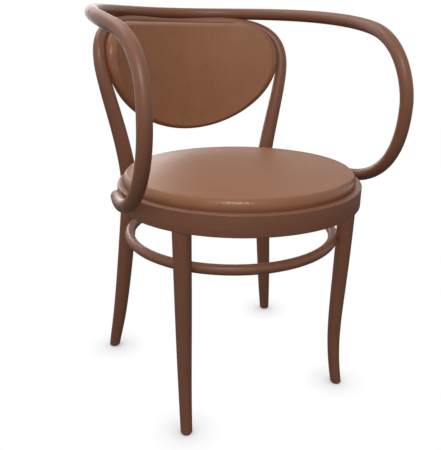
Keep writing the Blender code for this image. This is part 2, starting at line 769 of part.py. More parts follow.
def loft(name, rows, seat, surface):
    """A closed solid through rows of points. The first and the last row are single points."""
    shape = bmesh.new()
    rings = [[shape.verts.new(point) for point in row_points(row, seat)] for row in rows]
    order = [(share, -inset, -depth) for share, inset, depth in rows]
    for i in range(len(rings) - 1):
        inner, outer = sorted((i, i + 1), key=lambda row: order[row])
        for corners in loft_faces(rings[outer], rings[inner]):
            shape.faces.new(corners)
    bmesh.ops.recalc_face_normals(shape, faces=shape.faces)
    mesh = bpy.data.meshes.new(name)
    shape.to_mesh(mesh)
    shape.free()
    smooth(mesh)
    return add_object(name, mesh, surface)


def seat_against_hoop(rows):
    """How far back the pad can go before its skin meets the hoop."""
    points = np.array([point for row in rows for point in row_points(row, 0.0)])
    where = stations(HOOP_MIDDLE - HOOP_CONTACT_KNOTS, HOOP_MIDDLE + HOOP_CONTACT_KNOTS, SEARCH_POINTS)
    axis = np.array([HOOP.at(s) for s in where])
    reach = np.array([HOOP.radius(s) for s in where]) + GAP
    low, high = 0.0, HOOP_TOP_DEPTH + HOOP_TOP_RADIUS
    for _ in range(SEARCH_ROUNDS):
        middle = (low + high) / 2
        moved = points + np.array((0.0, middle, 0.0))
        distance = np.linalg.norm(moved[:, None, :] - axis[None, :, :], axis=2) - reach
        if distance.min() > 0.0:
            low = middle
        else:
            high = middle
    return low


def build_back_pad(hoop):
    """Leather shell, foam and moulded plywood, bent together. The leather turns in behind the board."""
    outer, inner = back_skin(0.0), back_skin(COVER_THICKNESS)
    seat = seat_against_hoop(outer)
    hem = [(1.0, BACK_COVER_TURN_IN, 0.0), (1.0, BACK_COVER_TURN_IN, COVER_THICKNESS)]
    cover = loft("back_cover", outer + hem + inner[::-1], seat, LEATHER)
    offset = COVER_THICKNESS + GAP
    filling = back_skin(offset)
    board_front = offset + BACK_BOARD_THICKNESS
    inside = [(s, BACK_COVER_TURN_IN) for s in (1.0, *BACK_ROW_SHARES[:0:-1])]
    floor = [(1.0, offset, board_front + GAP)] + [(s, d, board_front + GAP) for s, d in inside]
    loft("back_foam", filling[:-3] + floor + [(0.0, 0.0, board_front + GAP)], seat, FOAM)
    front = [(0.0, 0.0, board_front)] + [(s, d, board_front) for s, d in inside[::-1]]
    front.append((1.0, offset, board_front))
    rear = filling[-3:] + [(s, d, offset) for s, d in inside] + [(0.0, 0.0, offset)]
    board = loft("back_board", front + rear, seat, STAINED_PLYWOOD)
    number = 0
    for side in (-1, 1):
        for outset in BACK_SCREW_OUTSETS:
            number += 1
            station = HOOP.station_where(0, RAIL_SCREW_SIDE + outset, HOOP_MIDDLE, HOOP_MIDDLE + 1)
            through = HOOP.at(station)
            height = BACK_TOP_HEIGHT - BACK_SCREW_DROP
            tip = bent(through.x, height, board_front - BACK_SCREW_COVER, seat)
            head = through + (through - tip).normalized() * (HOOP.radius(station) - SCREW_SINK)
            fasten(f"back_screw_{number}", sided(head, side), sided(tip, side), SCREW, (hoop, cover, board))


# Fixings of the frame


def fix_arms(ring, arms):
    """Sloping screws from inside the ring, up and out into the ends of the arms."""
    station = ARM.last - ARM_SCREW_SETBACK / ARM.velocity(ARM.last).length
    end = ARM.at(station)
    outward = Vector((end.x, end.y, 0.0)).normalized()
    slope = math.radians(ARM_SCREW_SLOPE)
    line = outward * math.cos(slope) + Vector((0.0, 0.0, math.sin(slope)))
    run = (Vector((end.x, end.y)).length - RING_INNER_RADIUS) / math.cos(slope)
    head, tip = end - line * (run - BOLT_SINK), end + line * ARM_SCREW_BITE
    for name, side in SIDES:
        fasten(name + "_arm_screw", sided(head, side), sided(tip, side), SCREW, (ring, arms[name]))


def fix_rail(hoop, rail):
    """Screws up through the hoop into the back rail."""
    station = HOOP.station_where(0, RAIL_SCREW_SIDE, HOOP_MIDDLE, HOOP_MIDDLE + 1)
    through = HOOP.at(station)
    bow = [ARM.at(s) for s in stations(ARM_MIDDLE, ARM_MIDDLE + 1, SEARCH_POINTS)]
    onto = min(bow, key=lambda p: (p - through).length)
    line = (onto - through).normalized()
    head, tip = through - line * (HOOP.radius(station) - SCREW_SINK), onto + line * RAIL_SCREW_BITE
    for name, side in SIDES:
        fasten(name + "_rail_screw", sided(head, side), sided(tip, side), SCREW, (hoop, rail))


def fix_rear_legs(ring, hoop):
    """Level bolts from inside the ring into the rear legs."""
    height = (RING_BOTTOM + LEDGE_HEIGHT) / 2
    post = HOOP.at(HOOP.station_where(2, height, HOOP_MIDDLE + 1, HOOP_MIDDLE + 2))
    outward = Vector((post.x, post.y, 0.0)).normalized()
    head = outward * (RING_INNER_RADIUS + BOLT_SINK) + Vector((0.0, 0.0, height))
    for name, side in SIDES:
        fasten(name + "_rear_bolt", sided(head, side), sided(post, side), BOLT, (ring, hoop))


def fix_leg_ring(leg_ring, hoop, legs):
    """Level screws from inside the leg ring into the middle of each leg."""
    centre = Vector((0.0, LEG_RING_DEPTH, LEG_RING_HEIGHT))
    front = FRONT_LEG.at(FRONT_LEG.station_where(2, LEG_RING_HEIGHT, 0.0, 1.0))
    rear = HOOP.at(HOOP.station_where(2, LEG_RING_HEIGHT, HOOP_MIDDLE + 1.0, HOOP.last))
    for end, leg in (("front", front), ("rear", rear)):
        head = centre + (leg - centre).normalized() * (LEG_RING_RADIUS - LEG_RING_TUBE + SCREW_SINK)
        for name, side in SIDES:
            held = legs[name] if end == "front" else hoop
            fasten(f"{name}_{end}_ring_screw", sided(head, side), sided(leg, side), SCREW, (leg_ring, held))


def centre_on_floor():
    """Moves the chair so that its origin is on the floor under the middle of its box."""
    depsgraph = bpy.context.evaluated_depsgraph_get()
    depths = []
    for item in PARTS.objects:
        if item.type == "MESH":
            shape = item.evaluated_get(depsgraph)
            depths += [(shape.matrix_world @ vertex.co).y for vertex in shape.data.vertices]
    CHAIR.location.y = -(min(depths) + max(depths)) / 2


def build_chair():
    floor = build_floor_cutter()
    rail_tool = as_cutter(rod("rail_bed", ARM, rail_stations(), None, grow=GAP))
    leg_ring_tool = as_cutter(torus("leg_ring_notch", LEG_RING_TUBE + GAP, None))
    hoop = build_hoop(rail_tool, leg_ring_tool, floor)
    rail, arms = build_arm_rod()
    ring = build_seat_ring()
    legs = build_front_legs(ring, leg_ring_tool, floor)
    leg_ring = torus("leg_ring", LEG_RING_TUBE, BEECH)
    build_glides(hoop, legs)
    build_seat_pad(ring)
    build_back_pad(hoop)
    fix_arms(ring, arms)
    fix_rail(hoop, rail)
    fix_rear_legs(ring, hoop)
    fix_leg_ring(leg_ring, hoop, legs)
    centre_on_floor()


build_chair()
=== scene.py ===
# %% [markdown]
# # A bentwood armchair
# The chair is two long rods of steamed beech bent round forms, a flat seat ring, a thin ring that ties the
# legs, and two leather pads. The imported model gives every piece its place. This lesson gives each piece its
# fine surface and finish. All lengths are metres, the chair faces -Y, and left and right are as seen from the
# front.

# %% Load the frame
import math

import bmesh
import bpy
import numpy as np
from mathutils import Euler, Matrix, Vector


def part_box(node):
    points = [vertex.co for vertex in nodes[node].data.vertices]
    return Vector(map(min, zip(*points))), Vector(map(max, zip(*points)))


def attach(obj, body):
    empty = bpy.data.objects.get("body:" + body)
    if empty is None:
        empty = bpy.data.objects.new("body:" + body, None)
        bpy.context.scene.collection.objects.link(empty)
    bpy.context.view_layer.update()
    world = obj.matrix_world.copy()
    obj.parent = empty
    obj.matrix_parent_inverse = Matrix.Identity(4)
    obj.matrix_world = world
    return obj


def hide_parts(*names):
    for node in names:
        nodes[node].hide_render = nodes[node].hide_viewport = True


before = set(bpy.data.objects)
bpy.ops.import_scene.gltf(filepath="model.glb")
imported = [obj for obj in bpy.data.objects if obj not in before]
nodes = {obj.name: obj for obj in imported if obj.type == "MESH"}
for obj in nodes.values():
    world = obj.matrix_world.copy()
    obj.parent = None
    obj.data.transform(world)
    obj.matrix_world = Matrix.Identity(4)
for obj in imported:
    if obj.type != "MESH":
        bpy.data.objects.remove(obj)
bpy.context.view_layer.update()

# %% [markdown]
# ## Camera
# The photograph looks at the chair from its front left and a little above. The place, turn and lens below
# were found by matching the seat ring, which is a true circle, and the four feet, which stand on one floor.

# %% Place the camera
CAMERA_PLACE = (-0.4743, -0.918, 0.6893)
CAMERA_TURN = 26.727
CAMERA_DIP = 19.44
CAMERA_ROLL = 0.195
CAMERA_LENS = 41.9
SENSOR_HEIGHT = 36.0


def add_object(name, data):
    made = bpy.data.objects.new(name, data)
    bpy.context.scene.collection.objects.link(made)
    return made


def place_camera():
    data = bpy.data.cameras.new("camera")
    data.lens = CAMERA_LENS
    data.sensor_fit = "VERTICAL"
    data.sensor_height = SENSOR_HEIGHT
    camera = add_object("camera", data)
    aim = Euler((math.radians(90.0 - CAMERA_DIP), 0.0, math.radians(-CAMERA_TURN))).to_matrix()
    roll = Matrix.Rotation(math.radians(CAMERA_ROLL), 3, "Z")
    camera.matrix_world = Matrix.Translation(CAMERA_PLACE) @ (aim @ roll).to_4x4()
    bpy.context.scene.camera = camera
    return camera


print("camera at", tuple(round(value, 3) for value in place_camera().location))

# %% [markdown]
# ## Helpers for node trees
# Shader trees and geometry trees are both boxes joined by links. A small builder keeps each tree to a few
# readable lines: it makes a node, sets its values and joins its inputs in one call.

# %% Node builder
MIX_SHARE, MIX_FIRST, MIX_SECOND, MIX_RESULT = 0, 6, 7, 2


class NodeBuilder:
    """Adds nodes to a tree. An input may be a value or the output of another node."""

    def __init__(self, tree):
        self.tree = tree

    def put(self, socket, value):
        if isinstance(value, bpy.types.NodeSocket):
            self.tree.links.new(value, socket)
        else:
            socket.default_value = value

    def add(self, kind, inputs=None, **settings):
        node = self.tree.nodes.new(kind)
        for name, value in settings.items():
            setattr(node, name, value)
        for name, value in (inputs or {}).items():
            self.put(node.inputs[name], value)
        return node

    def math(self, operation, first, second=0.0):
        return self.add("ShaderNodeMath", {0: first, 1: second}, operation=operation).outputs[0]

    def plus(self, first, second):
        return self.math("ADD", first, second)

    def minus(self, first, second):
        return self.math("SUBTRACT", first, second)

    def times(self, first, second):
        return self.math("MULTIPLY", first, second)

    def place(self):
        return self.add("ShaderNodeTexCoord").outputs["Object"]

    def layer(self, name, output="Fac"):
        return self.add("ShaderNodeAttribute", attribute_name=name).outputs[output]

    def noise(self, place, scale, detail=2.0, roughness=0.5):
        inputs = {"Vector": place, "Scale": scale, "Detail": detail, "Roughness": roughness}
        return self.add("ShaderNodeTexNoise", inputs).outputs["Fac"]

    def streaks(self, place, scales, detail=2.0, roughness=0.5):
        """Noise with its own scale along each axis."""
        drawn_out = self.add("ShaderNodeVectorMath", {0: place, 1: scales}, operation="MULTIPLY").outputs[0]
        return self.noise(drawn_out, 1.0, detail, roughness)

    def ramp(self, value, low, high, first=0.0, last=1.0, kind="SMOOTHSTEP"):
        inputs = {"Value": value, "From Min": low, "From Max": high, "To Min": first, "To Max": last}
        return self.add("ShaderNodeMapRange", inputs, interpolation_type=kind).outputs["Result"]

    def blend(self, share, first, second):
        """A mix of two colours. Several sockets of a mix share a name, so they go by their numbers."""
        inputs = {MIX_SHARE: share, MIX_FIRST: first, MIX_SECOND: second}
        return self.add("ShaderNodeMix", inputs, data_type="RGBA").outputs[MIX_RESULT]

    def bump(self, height, strength, distance):
        inputs = {"Height": height, "Strength": strength, "Distance": distance}
        return self.add("ShaderNodeBump", inputs).outputs["Normal"]


def start_finish(name):
    """A new material, its node builder and its main shader."""
    made = bpy.data.materials.new(name)
    made.use_nodes = True
    return made, NodeBuilder(made.node_tree), made.node_tree.nodes["Principled BSDF"]


def shade(build, shader, **sources):
    """Fills inputs of the shader, with the spaces in their names written as underscores."""
    for name, source in sources.items():
        build.put(shader.inputs[name.replace("_", " ")], source)


print("node builder ready")

# %% [markdown]
# ## Light
# The photograph has soft light from all round, more of it from the left, hardly any shadows and a white
# ground. A dim sky, brighter on the left, gives the soft fill. Large panels that cast no shadows give the
# long highlights that show the roundness of a rod.

# %% Sky and panels
SKY_STRENGTH = 0.375
SKY_LEAN = 0.14
SKY_SEEN = 1.0
WHITE = (1.0, 1.0, 1.0, 1.0)
# Each panel's name, place, target, size and power.
PANELS = (
    ("front_left_panel", (-0.88, -1.42, 2.08), (0.0, -0.2, 0.45), 0.42, 28.0),
    ("upper_left_panel", (-0.7, 0.6, 1.9), (0.0, 0.0, 0.5), 0.7, 4.0),
    ("rear_panel", (-0.2, 1.3, 2.3), (0.0, 0.0, 0.5), 1.0, 8.0),
    ("low_rear_panel", (0.08, 1.85, 0.94), (-0.15, -0.05, 0.46), 1.0, 14.5),
)


def light_sky():
    """A dim sky for light, brighter on the left, and a plain white one for the eye and for reflections."""
    world = bpy.data.worlds.new("sky")
    bpy.context.scene.world = world
    world.use_nodes = True
    build = NodeBuilder(world.node_tree)
    way = build.add("ShaderNodeTexCoord").outputs["Generated"]
    right = build.add("ShaderNodeSeparateXYZ", {0: way}).outputs["X"]
    light = build.minus(SKY_STRENGTH, build.times(right, SKY_LEAN))
    rays = build.add("ShaderNodeLightPath").outputs
    seen = build.math("MAXIMUM", rays["Is Camera Ray"], rays["Is Glossy Ray"])
    seen = build.math("MAXIMUM", seen, rays["Is Transmission Ray"])
    strength = build.add("ShaderNodeMix", {"Factor": seen, "A": light, "B": SKY_SEEN}).outputs["Result"]
    sky = world.node_tree.nodes["Background"]
    build.put(sky.inputs["Color"], WHITE)
    build.put(sky.inputs["Strength"], strength)


def hang_panel(name, place, target, size, power):
    data = bpy.data.lights.new(name, "AREA")
    data.size = size
    data.energy = power
    data.use_shadow = False
    panel = add_object(name, data)
    panel.location = place
    panel.rotation_euler = (Vector(target) - Vector(place)).to_track_quat("-Z", "Y").to_euler()
    panel.visible_camera = False


bpy.context.scene.view_settings.view_transform = "Standard"
light_sky()
for panel in PANELS:
    hang_panel(*panel)
print("panels", [panel[0] for panel in PANELS])

# %% [markdown]
# ## Floor
# The floor is a wide disc. To the eye it is plain white, so that no horizon shows, with a painted contact
# shadow: soft dark spots only where something stands close to it. To the light it is grey, so that it throws
# little light up under the seat. From below it is clear, so that the underside of the chair can be seen.

# %% White floor
FLOOR_RADIUS = 4.0
FLOOR_STEPS = 96
FLOOR_TONE = 0.21
SHADOW_REACH = 0.06
SHADOW_DEPTH = 0.95
SHADOW_SAMPLES = 16


def drawn(name, shape, finish=None):
    """A piece from a drawn shape, which is used up."""
    mesh = bpy.data.meshes.new(name)
    shape.to_mesh(mesh)
    shape.free()
    if finish:
        mesh.materials.append(finish)
    return add_object(name, mesh)


def floor_finish():
    made, build, shader = start_finish("pale_floor")
    output = made.node_tree.nodes["Material Output"]
    made.node_tree.nodes.remove(shader)
    matt = build.add("ShaderNodeBsdfDiffuse", {"Color": (FLOOR_TONE, FLOOR_TONE, FLOOR_TONE, 1.0)}).outputs[0]
    # Painted contact shadow: the white glow the eye sees is dimmed wherever something stands close to the
    # floor.
    near = build.add("ShaderNodeAmbientOcclusion", {"Distance": SHADOW_REACH}, samples=SHADOW_SAMPLES)
    painted_shadow_glow = build.ramp(near.outputs["AO"], 0.0, 1.0, 1.0 - SHADOW_DEPTH, 1.0, "LINEAR")
    white = build.add("ShaderNodeEmission", {"Strength": painted_shadow_glow}).outputs[0]
    rays = build.add("ShaderNodeLightPath").outputs["Is Camera Ray"]
    top = build.add("ShaderNodeMixShader", {0: rays, 1: matt, 2: white}).outputs[0]
    below = build.add("ShaderNodeNewGeometry").outputs["Backfacing"]
    clear = build.add("ShaderNodeBsdfTransparent").outputs[0]
    both = build.add("ShaderNodeMixShader", {0: below, 1: top, 2: clear}).outputs[0]
    build.put(output.inputs["Surface"], both)
    return made


def lay_floor():
    shape = bmesh.new()
    bmesh.ops.create_circle(shape, cap_ends=True, segments=FLOOR_STEPS, radius=FLOOR_RADIUS)
    floor = drawn("floor", shape, floor_finish())
    return floor


print("floor", lay_floor().name)

# %% [markdown]
# ## Finish: stained beech
# Beech is pale, even wood with fine short flecks. Here it is stained red brown under a satin lacquer, so the
# figure is faint: long soft streaks, small dark flecks and a slow change of tone. On a bent rod the grain
# runs along the bend. The pattern therefore reads an attribute called grain, which holds the place across the
# section and the length along it.

# %% Stained beech
BEECH_DARK = (0.170, 0.069, 0.038, 1.0)
BEECH_LIGHT = (0.197, 0.080, 0.045, 1.0)
BEECH_FLECK = (0.142, 0.056, 0.030, 1.0)
STREAK_SCALE = (150.0, 150.0, 5.0)
FLECK_SCALE = (900.0, 900.0, 75.0)
TONE_SCALE = (9.0, 9.0, 2.2)
STREAK_SHARE = 0.6
TONE_SHARE = 0.5
FLECK_SHARE = 0.45
FLECK_RAMP = (0.62, 0.74)
STAIN_RAMP = (0.32, 0.78)
SATIN_RAMP = (0.3, 0.7, 0.38, 0.44)
STREAK_RUB = 0.06
PORE_DEPTH = 0.5
PORE_BUMP = (0.05, 0.0004)
LACQUER_SHINE = 0.30


def beech_finish():
    made, build, shader = start_finish("stained_beech")
    place = build.layer("grain", "Vector")
    streak = build.streaks(place, STREAK_SCALE, detail=4.0, roughness=0.62)
    fleck = build.ramp(build.streaks(place, FLECK_SCALE, detail=1.0), *FLECK_RAMP)
    tone = build.streaks(place, TONE_SCALE)
    figure = build.plus(build.times(streak, STREAK_SHARE), build.times(tone, TONE_SHARE))
    stain = build.blend(build.ramp(figure, *STAIN_RAMP), BEECH_DARK, BEECH_LIGHT)
    stain = build.blend(build.times(fleck, FLECK_SHARE), stain, BEECH_FLECK)
    gloss = build.plus(build.ramp(tone, *SATIN_RAMP), build.times(streak, STREAK_RUB))
    pores = build.minus(streak, build.times(fleck, PORE_DEPTH))
    shade(build, shader, Base_Color=stain, Roughness=gloss, Normal=build.bump(pores, *PORE_BUMP),
          Specular_IOR_Level=LACQUER_SHINE)
    return made


BEECH = beech_finish()
print("finish", BEECH.name)

# %% [markdown]
# ## Finish: brown leather
# The pads are covered in brown leather. Close up it has a grain of small pebbles with creases between them,
# and the dye is a little uneven. Pebbles are cells round scattered points, so a texture of such cells gives
# them, in metres, on the piece's own coordinates. Round the border the leather is stretched and rubbed
# smooth: an attribute called polish flattens the pebbles there, adds shine and brings out fine upright
# wrinkles.

# %% Brown leather
LEATHER_DARK = (0.220, 0.092, 0.042, 1.0)
LEATHER_LIGHT = (0.273, 0.119, 0.057, 1.0)
PEBBLE_SCALE = 850.0
WANDER_SCALE = 0.6 * PEBBLE_SCALE
WANDER_SHARE = 0.6
DYE_SCALE = 28.0
MOTTLE_SCALE = 420.0
PEBBLE_RAMP = (0.0, 0.22)
DYE_SHARE = 0.22
PEBBLE_TINT = 0.12
PEBBLE_GLOSS = 0.2
LEATHER_RAMP = (0.38, 0.74)
GLOSS_RAMP = (0.35, 0.9, 0.53, 0.46)
POLISH_GAIN = 0.23
POLISHED_PEBBLE = 0.15
WRINKLE_SCALE = (420.0, 420.0, 60.0)
WRINKLE_GAIN = 4.0
LEATHER_BUMP = (0.30, 0.0003)
LEATHER_SHINE = 0.22


def leather_finish():
    made, build, shader = start_finish("brown_leather")
    place = build.place()
    polish = build.layer("polish")
    cells = build.add("ShaderNodeTexVoronoi", {"Vector": place, "Scale": PEBBLE_SCALE},
                      feature="DISTANCE_TO_EDGE")
    pebble = build.ramp(cells.outputs["Distance"], *PEBBLE_RAMP)
    pebble = build.plus(pebble, build.times(build.noise(place, WANDER_SCALE), WANDER_SHARE))
    dye = build.noise(place, DYE_SCALE, detail=3.0, roughness=0.55)
    mottle = build.noise(place, MOTTLE_SCALE, roughness=0.6)
    tone = build.plus(build.times(dye, DYE_SHARE), build.times(mottle, 1.0 - DYE_SHARE))
    tone = build.plus(tone, build.times(pebble, PEBBLE_TINT))
    colour = build.blend(build.ramp(tone, *LEATHER_RAMP), LEATHER_DARK, LEATHER_LIGHT)
    gloss = build.ramp(build.plus(mottle, build.times(pebble, PEBBLE_GLOSS)), *GLOSS_RAMP)
    gloss = build.minus(gloss, build.times(polish, POLISH_GAIN))
    wrinkle = build.times(build.streaks(place, WRINKLE_SCALE, detail=1.0), polish)
    flat = build.times(pebble, build.ramp(polish, 0.0, 1.0, 1.0, POLISHED_PEBBLE))
    height = build.plus(flat, build.times(wrinkle, WRINKLE_GAIN))
    shade(build, shader, Base_Color=colour, Roughness=gloss, Normal=build.bump(height, *LEATHER_BUMP),
          Specular_IOR_Level=LEATHER_SHINE)
    return made


LEATHER = leather_finish()
print("finish", LEATHER.name)

# %% [markdown]
# ## Finishes: plywood and bare beech
# The seat board is birch plywood with visible plies on its edge. The back board is moulded plywood, stained
# like the frame, with fine straight figure across it, and the dowels are bare beech. One function makes all
# three, because they differ only in colours, gloss and figure. The plies are bands along the height, so they
# show on the edge of a board that lies flat.

# %% Boards and dowels
PLY_THICKNESS = 0.0014
PLY_EDGE = (0.45, 0.55)
PLY_SHADE = 0.25
FLAT_FIGURE = (4.0, 90.0, 90.0)
MOULDED_FIGURE = (4.0, 9.0, 120.0)
VENEER_BUMP = (0.12, 0.0004)
MIDDLE_RANGE = (0.3, 0.7)
GLOSS_PLAY = 0.06


def board_finish(name, dark, light, roughness, figure=FLAT_FIGURE, plies=PLY_SHADE):
    """Veneer with straight figure along X on its faces, and plies along its height where it lies flat."""
    made, build, shader = start_finish(name)
    place = build.place()
    streak = build.streaks(place, figure, detail=4.0, roughness=0.6)
    height = build.add("ShaderNodeSeparateXYZ", {0: place}).outputs["Z"]
    ply = build.math("FRACT", build.math("DIVIDE", height, 2 * PLY_THICKNESS))
    dim = build.ramp(ply, *PLY_EDGE, 0.0, plies)
    colour = build.blend(build.minus(build.ramp(streak, *MIDDLE_RANGE), dim), dark, light)
    gloss = build.ramp(streak, *MIDDLE_RANGE, roughness - GLOSS_PLAY, roughness + GLOSS_PLAY)
    shade(build, shader, Base_Color=colour, Roughness=gloss, Normal=build.bump(streak, *VENEER_BUMP))
    return made


PLYWOOD = board_finish("plywood", (0.36, 0.23, 0.12, 1.0), (0.52, 0.37, 0.21, 1.0), roughness=0.58)
STAINED_PLYWOOD = board_finish("stained_plywood", (0.130, 0.053, 0.030, 1.0), (0.170, 0.070, 0.041, 1.0),
                               roughness=0.42, figure=MOULDED_FIGURE, plies=0.0)
RAW_BEECH = board_finish("raw_beech", (0.44, 0.29, 0.16, 1.0), (0.56, 0.39, 0.23, 1.0), roughness=0.6)
print("finishes", [made.name for made in (PLYWOOD, STAINED_PLYWOOD, RAW_BEECH)])

# %% [markdown]
# ## Finishes: steel and nylon
# The screws are plated steel with a little wear. The glides are black nylon, scuffed and with a fine moulded
# surface. Neither has a figure, so noise on the piece's own coordinates is enough for both.

# %% Steel and nylon
STEEL_TONES = (0.34, 0.33, 0.31, 1.0), (0.56, 0.54, 0.50, 1.0)
STEEL_WEAR_SCALE = 900.0
STEEL_GLOSS = (0.28, 0.42)
STEEL_BUMP = (0.1, 0.0001)
NYLON_TONES = (0.022, 0.022, 0.022, 1.0), (0.06, 0.058, 0.055, 1.0)
NYLON_MOULD_SCALE = 1400.0
NYLON_SCUFF_SCALE = 220.0
NYLON_SCUFF_RAMP = (0.5, 0.8)
NYLON_GLOSS = (0.42, 0.6)
NYLON_BUMP = (0.15, 0.0001)


def steel_finish():
    made, build, shader = start_finish("plated_steel")
    wear = build.noise(build.place(), STEEL_WEAR_SCALE, detail=3.0, roughness=0.6)
    gloss = build.ramp(wear, *MIDDLE_RANGE, *STEEL_GLOSS)
    shade(build, shader, Base_Color=build.blend(wear, *STEEL_TONES), Roughness=gloss,
          Normal=build.bump(wear, *STEEL_BUMP), Metallic=1.0)
    return made


def nylon_finish():
    made, build, shader = start_finish("black_nylon")
    place = build.place()
    mould = build.noise(place, NYLON_MOULD_SCALE)
    scuff = build.noise(place, NYLON_SCUFF_SCALE, detail=3.0, roughness=0.6)
    colour = build.blend(build.ramp(scuff, *NYLON_SCUFF_RAMP), *NYLON_TONES)
    gloss = build.ramp(scuff, *MIDDLE_RANGE, *NYLON_GLOSS)
    shade(build, shader, Base_Color=colour, Roughness=gloss, Normal=build.bump(mould, *NYLON_BUMP))
    return made


STEEL = steel_finish()
NYLON = nylon_finish()
print("finishes", STEEL.name, NYLON.name)

# %% [markdown]
# ## Bent paths
# A steamed rod takes a smooth curve between the places where its form holds it. A curve through knots does
# the same: each knot gives a place, a heading and how far the curve holds that heading before and after. The
# curve is worked out here, and not by a curve object, because the grain also needs the length along it.

# %% Paths
ROD_STEP = 0.004
FINE_STEPS = 2000
HALVINGS = 50


def run_along(points):
    """Length along a line of points, at each of them."""
    return np.concatenate(([0.0], np.cumsum(np.linalg.norm(np.diff(points, axis=0), axis=1))))


class Path:
    """A smooth curve through knots. Station 0 is the first knot, 1 the second, and so on."""

    def __init__(self, knots):
        self.knots = knots
        self.last = len(knots) - 1
        self.middle = self.last // 2

    def between(self, station):
        """The knots before and after a station, and its share of the way between them."""
        index = min(max(int(station), 0), self.last - 1)
        return self.knots[index], self.knots[index + 1], station - index

    def at(self, station):
        (a, _, b, _), (d, c, _, _), t = self.between(station)
        s = 1.0 - t
        return s**3 * a + 3 * t * s**2 * b + 3 * t**2 * s * c + t**3 * d

    def radius(self, station):
        (*_, first), (*_, last), t = self.between(station)
        return first + (last - first) * t

    def station_where(self, axis, value, first, last):
        rising = self.at(last)[axis] > self.at(first)[axis]
        for _ in range(HALVINGS):
            middle = (first + last) / 2
            if (self.at(middle)[axis] < value) == rising:
                first = middle
            else:
                last = middle
        return first

    def walk(self, first, last):
        """Points and radii at about even steps along the curve between two stations."""
        fine = [first + (last - first) * i / FINE_STEPS for i in range(FINE_STEPS + 1)]
        run = run_along(np.array([self.at(s) for s in fine]))
        count = round(run[-1] / ROD_STEP)
        where = np.interp(np.linspace(0.0, run[-1], count + 1), run, fine)
        return [(self.at(float(s)), self.radius(float(s))) for s in where]


print("step along a rod", ROD_STEP)

# %% [markdown]
# ## Knots of the rods
# The hoop with both rear legs is one rod, the back rail with both arms is another, and the front legs are two
# more. The knots repeat the model's own, counted from the axis of the seat ring, and the rod's radius is
# given at each knot. The long rods are symmetric, so only one half is written down and mirrored. The splice
# is the place where an arm is glued to the rail.

# %% Knots of the rods
GAP = 0.0003
ring_low, ring_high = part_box("seat_ring")
RING_RADIUS = (ring_high.x - ring_low.x) / 2
RING_TOP = ring_high.z
RING_BOTTOM = ring_low.z
SEAT_CENTRE = Vector((0.0, (ring_low.y + ring_high.y) / 2, 0.0))


def knot(place, heading, before, after, radius):
    place, heading = Vector(place) + SEAT_CENTRE, Vector(heading)
    return place, place - heading * before, place + heading * after, radius


def mirrored(point, sign=-1):
    return Vector((point.x * sign, point.y, point.z))


def both_halves(half):
    """All knots of a symmetric rod, from the half that starts in the middle."""
    other = [(mirrored(k[0]), mirrored(k[2]), mirrored(k[1]), k[3]) for k in half[:0:-1]]
    return other + half


HOOP = Path(both_halves([
    knot((0.0, 0.315, RING_TOP + 0.2872), (1.0, 0.0, 0.0), 0.102, 0.102, 0.0101),
    knot((0.207, 0.187, RING_TOP + 0.213), (0.0, -0.265, -1.0), 0.0955, 0.053, 0.0122),
    knot((0.16462, 0.18347, RING_BOTTOM - 0.036), (0.100, 0.076, -1.0), 0.0945, 0.2952, 0.0177),
    knot((0.209, 0.2245, 0.0), (0.136, 0.130, -1.0), 0.0642, 0.0642, 0.0116),
]))
ARM_RADIUS = 0.0118
ARM = Path(both_halves([
    knot((0.0, 0.3263, RING_TOP + 0.30826), (1.0, 0.0, 0.0), 0.172, 0.172, ARM_RADIUS),
    knot((0.2493, -0.063, RING_TOP + 0.2723), (-0.175, -1.0, -0.235), 0.1565, 0.0973, ARM_RADIUS),
    knot((0.242, -0.1697, RING_TOP + 0.1453), (0.02, 0.0, -1.0), 0.0244, 0.1196, ARM_RADIUS),
    knot((0.23683, 0.01324, RING_TOP - 0.0092), (-0.2, 1.0, 0.147), 0.093, 0.093, ARM_RADIUS),
]))
FRONT_LEG = Path([
    knot((0.17046, -0.12025, RING_BOTTOM - GAP), (0.0, 0.0, -1.0), 0.2281, 0.2281, 0.0164),
    knot((0.17346, -0.12925, 0.0), (0.071, -0.215, -1.0), 0.1173, 0.1173, 0.0109),
])
SPLICE_BACK = 0.0141
SPLICE = ARM.station_where(1, SEAT_CENTRE.y + SPLICE_BACK, ARM.middle, ARM.middle + 1)
print("splice at", [round(value, 4) for value in ARM.at(SPLICE)])

# %% [markdown]
# ## Geometry nodes: a bent rod
# A rod is a round section carried along a path, thicker where the rod is thicker. One small node tree makes
# them all: the path comes in as a line of points with a thickness on each, becomes a curve, and a circle runs
# along it. The ends are capped, so every rod is a closed solid.

# %% Rod tree


def new_tree(name, sockets):
    """A geometry tree with named inputs: its builder and the inputs."""
    tree = bpy.data.node_groups.new(name, "GeometryNodeTree")
    for way in ("INPUT", "OUTPUT"):
        tree.interface.new_socket("Geometry", in_out=way, socket_type="NodeSocketGeometry")
    for title, kind in sockets:
        tree.interface.new_socket(title, in_out="INPUT", socket_type="NodeSocket" + kind)
    return NodeBuilder(tree), tree.nodes.new("NodeGroupInput").outputs


def end_tree(build, shape, finish):
    """Ends a tree with plain geometry in one finish."""
    whole = build.add("GeometryNodeRealizeInstances", {"Geometry": shape}).outputs["Geometry"]
    coated = build.add("GeometryNodeSetMaterial", {"Geometry": whole, "Material": finish}).outputs["Geometry"]
    build.add("NodeGroupOutput", {"Geometry": coated})
    return build.tree


def rod_tree():
    build, given = new_tree("bent_rod", [("Sides", "Int"), ("Finish", "Material")])
    line = build.add("GeometryNodeMeshToCurve", {"Mesh": given["Geometry"]}).outputs["Curve"]
    section = build.add("GeometryNodeCurvePrimitiveCircle", {"Resolution": given["Sides"], "Radius": 1.0})
    thick = build.add("GeometryNodeInputNamedAttribute", {"Name": "thickness"}, data_type="FLOAT")
    solid = build.add("GeometryNodeCurveToMesh", {
        "Curve": line, "Profile Curve": section.outputs["Curve"],
        "Scale": thick.outputs["Attribute"], "Fill Caps": True})
    return end_tree(build, solid.outputs["Mesh"], given["Finish"])


